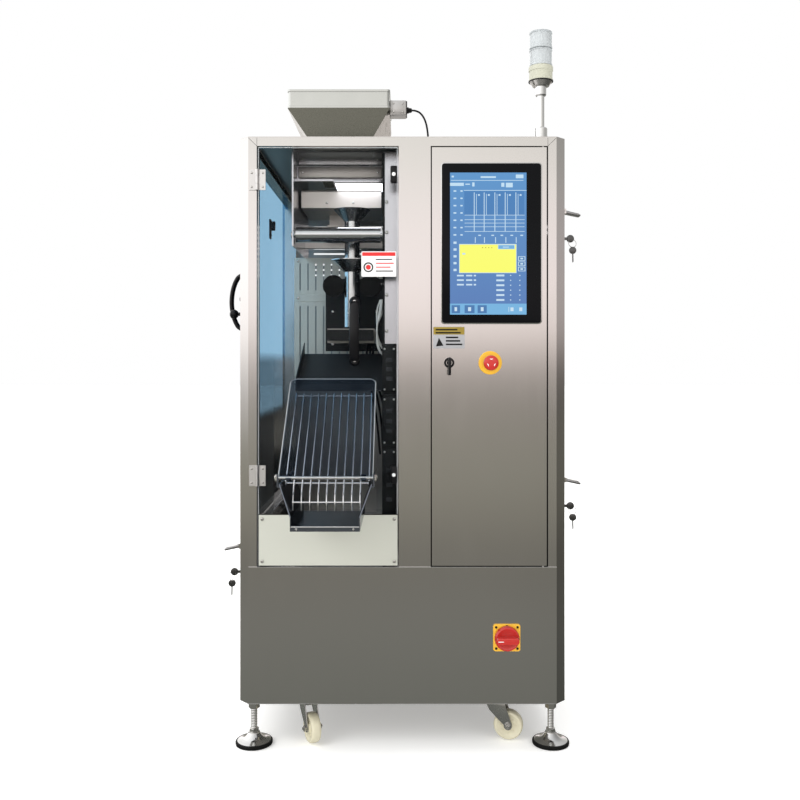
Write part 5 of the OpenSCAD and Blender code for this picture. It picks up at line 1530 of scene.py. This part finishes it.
class SEALER_OT_bay_inside(bpy.types.Operator):
    """Inside the product bay: lamp, fascia boxes, film parts, cylinders, valve boxes, cables and fixings"""
    bl_idname = "sealer.bay_inside"
    bl_label = "Inside the bay"

    def execute(self, context):
        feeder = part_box("feeder_frame")
        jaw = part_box("jaw_front")
        self.lamp_and_fascia(feeder)
        self.film(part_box("film_roller"))
        self.drives(jaw)
        self.boxes()
        self.cables()
        self.guard(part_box("slatted_guard"))
        self.pan(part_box("feeder_pan"))
        self.window_catch(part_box("left_window_door"))
        return {"FINISHED"}

    def lamp_and_fascia(self, feeder):
        y = FRONT + 0.095
        lamp = [block((-0.176, y, 1.4065), (-0.040, y + 0.115, 1.4165), 0.002, 2, "steel_inner"),
                block((-0.172, y + 0.004, 1.4052), (-0.044, y + 0.111, 1.4070), 0.0006, 1, "lamp_white")]
        joined(lamp, "bay_lamp", "cabinet")
        x0, x1 = feeder[0][0] + 0.006, -0.052
        front = FRONT + 0.146
        parts = [block((x0, front, 1.4640), (x1, front + 0.006, 1.4990), 0.002, 3, "steel_inner"),
                 block((x0, front - 0.004, 1.4290), (x1, front + 0.004, 1.4590), 0.003, 3, "steel_pan")]
        for px in (x0 + 0.012, x1 - 0.012):
            parts.append(screw((px, front, 1.4800), (0, -1, 0), 0.0032))
            parts.append(screw((px, front - 0.004, 1.4440), (0, -1, 0), 0.0032))
        joined(parts, "feeder_fascia", "cabinet")

    def film(self, roller):
        """Flanges at both ends of the film roller."""
        y, z = (roller[0][1] + roller[1][1]) / 2, (roller[0][2] + roller[1][2]) / 2
        parts = []
        for x, side in ((roller[0][0] + 0.010, -1), (roller[1][0] - 0.011, 1)):
            parts.append(turned([(0.0225, 0), (0.0225, 0.002), (0.0215, 0.003), (0.010, 0.003)], (x, y, z),
                                (side, 0, 0), 40, paint="zinc"))
        joined(parts, "roller_flanges", "roller")

    def drives(self, jaw):
        """Serration strips and fixings of the front jaw, and what is bolted to the cross plate behind it."""
        x = (jaw[0][0] + jaw[1][0]) / 2
        z = (jaw[0][2] + jaw[1][2]) / 2
        fronts = []
        for dz in (-0.0105, 0.0105):
            fronts.append(block((jaw[0][0] + 0.004, jaw[1][1] - 0.0005, z + dz - 0.0015),
                                (jaw[1][0] - 0.004, jaw[1][1] + 0.0006, z + dz + 0.0015), 0.0004, 1,
                                "jaw_steel"))
        for dx in (-0.035, 0.035):
            fronts.append(screw((x + dx, jaw[0][1], z), (0, -1, 0), 0.0045))
            fronts.append(rod((x + dx * 0.7, jaw[0][1] - 0.010, z - 0.006),
                              (x + dx * 0.7, jaw[0][1] + 0.002, z - 0.006), 0.0030, 14, paint="zinc"))
        joined(fronts, "jaw_front_fixings", "front_jaw")
        cross = FRONT + 0.290
        parts = []
        for dx in (-0.030, 0.030):
            parts.append(rod((x + dx, cross + 0.012, 1.085), (x + dx, cross + 0.030, 1.085), 0.012, 28, 0.001,
                             "module_dark"))
        parts.append(block((x - 0.030, cross + 0.010, 0.995), (x + 0.030, cross + 0.030, 1.050), 0.002, 2,
                           "module_dark"))
        for dx in (-0.060, 0.060, 0.074):
            for pz in (1.000, 1.090, 1.165):
                if x + dx < -0.052:
                    parts.append(screw((x + dx, cross, pz), (0, -1, 0), 0.0042))
        joined(parts, "cross_plate_fixings", "cabinet")

    def boxes(self):
        """Valve and terminal boxes beside the opening, with pale screws and small lamps."""
        parts = []
        for low, high, reach in ((0.560, 0.738, 0.034), (0.746, 0.868, 0.044), (0.876, 0.992, 0.030)):
            y = FRONT + 0.060 - reach
            parts.append(block((-0.0485, y - 0.0022, low), (-0.0165, y + 0.001, high), 0.0012, 2,
                               "machine_black"))
            for px in (-0.0440, -0.0210):
                for pz in (low + 0.008, high - 0.008):
                    parts.append(screw((px, y - 0.0022, pz), (0, -1, 0), 0.0026, "steel_hinge"))
            for row in range(3):
                z = low + (high - low) * (0.3 + 0.2 * row)
                parts.append(block((-0.0400, y - 0.0036, z - 0.005), (-0.0250, y - 0.0020, z + 0.005), 0.0008,
                                   2, "module_dark"))
        for pz in (1.353, 1.277, 1.12, 1.03):
            parts.append(screw((-0.0395, FRONT + 0.0610, pz), (0, -1, 0), 0.0045))
        joined(parts, "bay_boxes", "cabinet")

    def cables(self):
        """White leads in a bundle, and black air lines beside the valve boxes."""
        parts = []
        for index, (dx, dy) in enumerate(((0, 0), (0.004, 0.002), (-0.003, 0.004), (0.002, -0.003))):
            base = Vector((-0.0600 + dx, FRONT + 0.075 + dy, 0))
            points = [base + Vector((0.006, 0.03, 1.110)), base + Vector((0.002 + dx, 0.0, 1.080)),
                      base + Vector((-0.004 - dx, -0.004, 1.040)),
                      base + Vector((0.001, 0.0, 1.000 - 0.006 * index)),
                      base + Vector((0.010, 0.002, 0.985 - 0.006 * index))]
            parts.append(tube(points, 0.0021, 2, "cable_white"))
        joined(parts, "white_leads", "cabinet")
        lines = []
        for index, x in enumerate((-0.074, -0.082, -0.091)):
            y = FRONT + 0.28
            points = [(x, y, 1.012), (x - 0.006, y - 0.030, 0.975), (x + 0.004, y - 0.045, 0.905),
                      (x + 0.022, y - 0.035, 0.830 - 0.02 * index), (x + 0.030, y - 0.020, 0.700)]
            lines.append(tube(points, 0.0030, 2, "cable_black"))
        joined(lines, "air_lines", "cabinet")

    def guard(self, box):
        """Screws and the pressed rib of the slatted panel."""
        low, high = box
        parts = []
        middle = high[2] - 0.113
        for x in (low[0] + 0.010, (low[0] + high[0]) / 2, high[0] - 0.010):
            for z in (low[2] + 0.007, middle, high[2] - 0.009):
                parts.append(screw((x, low[1], z), (0, -1, 0), 0.0038))
        parts.append(block((low[0] + 0.004, low[1] - 0.0012, middle - 0.010),
                           (high[0] - 0.004, low[1] + 0.0005, middle + 0.010), 0.0005, 1, "steel_guard"))
        joined(parts, "guard_fixings", "cabinet")

    def pan(self, box):
        """Rolled edges and screws of the feeder pan."""
        low = box[0]
        face = FRONT + 0.184
        top = 1.403
        parts = [rod((low[0] + 0.006, face + 0.0005, top), (-0.056, face + 0.0005, top), 0.0022, 12,
                     paint="steel_pan"),
                 rod((low[0] + 0.006, FRONT + 0.3995, top), (-0.056, FRONT + 0.3995, top), 0.0022, 12,
                     paint="steel_pan")]
        for x in (-0.20, -0.13):
            parts.append(screw((x, face, 1.372), (0, -1, 0), 0.0035))
        joined(parts, "pan_edges", "cabinet")

    def window_catch(self, pane):
        """The small dark catch inside the tinted side window."""
        x, y, z = pane[1][0], pane[0][1] + 0.36, pane[1][2] - 0.150
        parts = [block((x - 0.0002, y - 0.011, z - 0.028), (x + 0.004, y + 0.011, z + 0.028), 0.0012, 2,
                       "black_nylon"),
                 block((x + 0.0035, y - 0.007, z - 0.004), (x + 0.016, y + 0.007, z + 0.022), 0.002, 2,
                       "black_nylon"),
                 screw((x + 0.004, y, z - 0.018), (1, 0, 0), 0.0035),
                 screw((x + 0.004, y, z + 0.025), (1, 0, 0), 0.0022)]
        joined(parts, "window_catch", "window_door")


class SEALER_OT_cabinet_trim(bpy.types.Operator):
    """Cabinet details: mitre seams, back screws and inlet, and door gaps"""
    bl_idname = "sealer.cabinet_trim"
    bl_label = "Cabinet trim"

    def execute(self, context):
        self.front()
        self.back()
        return {"FINISHED"}

    def front(self):
        parts = []
        post = 0.045
        for side in (-1, 1):
            corner = side * (RIGHT - 0.024)
            inner = side * (RIGHT - post)
            parts.append(rod((corner, FRONT - 0.0001, ROOF - 0.003), (inner, FRONT - 0.0001, 1.479), 0.0004,
                             6, 0.0001, "ink"))
        for x in (-0.355, 0.355):
            parts.append(block((x - 0.0004, FRONT - 0.0003, LOWER[1][2] + 0.001),
                               (x + 0.0004, FRONT + 0.0002, ROOF - 0.003), 0, paint="ink"))
        edge = LOWER[1][2]
        parts.append(block((LOWER[0][0], LOWER[0][1] - 0.0002, edge - 0.0014),
                           (LOWER[1][0], FRONT - 0.0002, edge + 0.0004), 0.0002, 1, "steel_bright"))
        parts.append(block((LOWER[0][0], LOWER[0][1] - 0.0002, LOWER[0][2]),
                           (LOWER[1][0], FRONT - 0.0002, LOWER[0][2] + 0.0012), 0.0002, 1, "steel_bright"))
        joined(parts, "cabinet_seams", "cabinet")

    def back(self):
        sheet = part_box("back_sheet")
        parts = []
        for z in [sheet[0][2] + 0.012 + i * (sheet[1][2] - sheet[0][2] - 0.024) / 6 for i in range(7)]:
            for x in (sheet[0][0] + 0.008, sheet[1][0] - 0.008):
                parts.append(screw((x, sheet[1][1], z), (0, 1, 0), 0.0042))
        for x in (-0.12, 0.12):
            for z in (sheet[0][2] + 0.012, sheet[1][2] - 0.012):
                parts.append(screw((x, sheet[1][1], z), (0, 1, 0), 0.0042))
        joined(parts, "back_screws", "cabinet")
        x, z, y = 0.24, 0.205, sheet[1][1]
        inlet = [plate(rounded((x - 0.030, z - 0.022), (x + 0.030, z + 0.022), 0.004), "y", y, y + 0.0025,
                       0.0006, 2, "black_nylon"),
                 turned([(0.016, 0), (0.016, 0.006), (0.013, 0.0065), (0.0135, 0.012), (0.0105, 0.018),
                         (0.006, 0.0185), (0.006, 0.004)], (x, y + 0.002, z), (0, 1, 0), 12, 20,
                        "black_nylon")]
        joined(inlet, "supply_inlet", "cabinet")


OPERATORS = (SEALER_OT_finishes, SEALER_OT_studio, SEALER_OT_sensor, SEALER_OT_hopper, SEALER_OT_stack_light,
             SEALER_OT_front_door,
             SEALER_OT_handles, SEALER_OT_chute, SEALER_OT_touch_panel, SEALER_OT_door_controls,
             SEALER_OT_main_switch,
             SEALER_OT_latches, SEALER_OT_feet, SEALER_OT_castors, SEALER_OT_bay_inside,
             SEALER_OT_cabinet_trim)


class SEALER_PT_panel(bpy.types.Panel):
    """Lists the sizes, the colours and the steps that build the sealer"""
    bl_idname = "SEALER_PT_panel"
    bl_label = "Form Fill Sealer"
    bl_space_type = "VIEW_3D"
    bl_region_type = "UI"
    bl_category = "Sealer"

    def draw(self, context):
        layout = self.layout
        for group in (context.scene.sealer_sizes, context.scene.sealer_colours):
            box = layout.box()
            for key in group.__annotations__:
                box.prop(group, key)
        for operator in OPERATORS:
            layout.operator(operator.bl_idname)


CLASSES = (SealerSizes, SealerColours, *OPERATORS, SEALER_PT_panel)


def register():
    for item in CLASSES:
        bpy.utils.register_class(item)
    bpy.types.Scene.sealer_sizes = bpy.props.PointerProperty(type=SealerSizes)
    bpy.types.Scene.sealer_colours = bpy.props.PointerProperty(type=SealerColours)


def unregister():
    del bpy.types.Scene.sealer_colours
    del bpy.types.Scene.sealer_sizes
    for item in reversed(CLASSES):
        bpy.utils.unregister_class(item)


def main():
    register()
    for operator in OPERATORS:
        getattr(bpy.ops.sealer, operator.bl_idname.split(".")[1])()


if __name__ == "__main__":
    main()
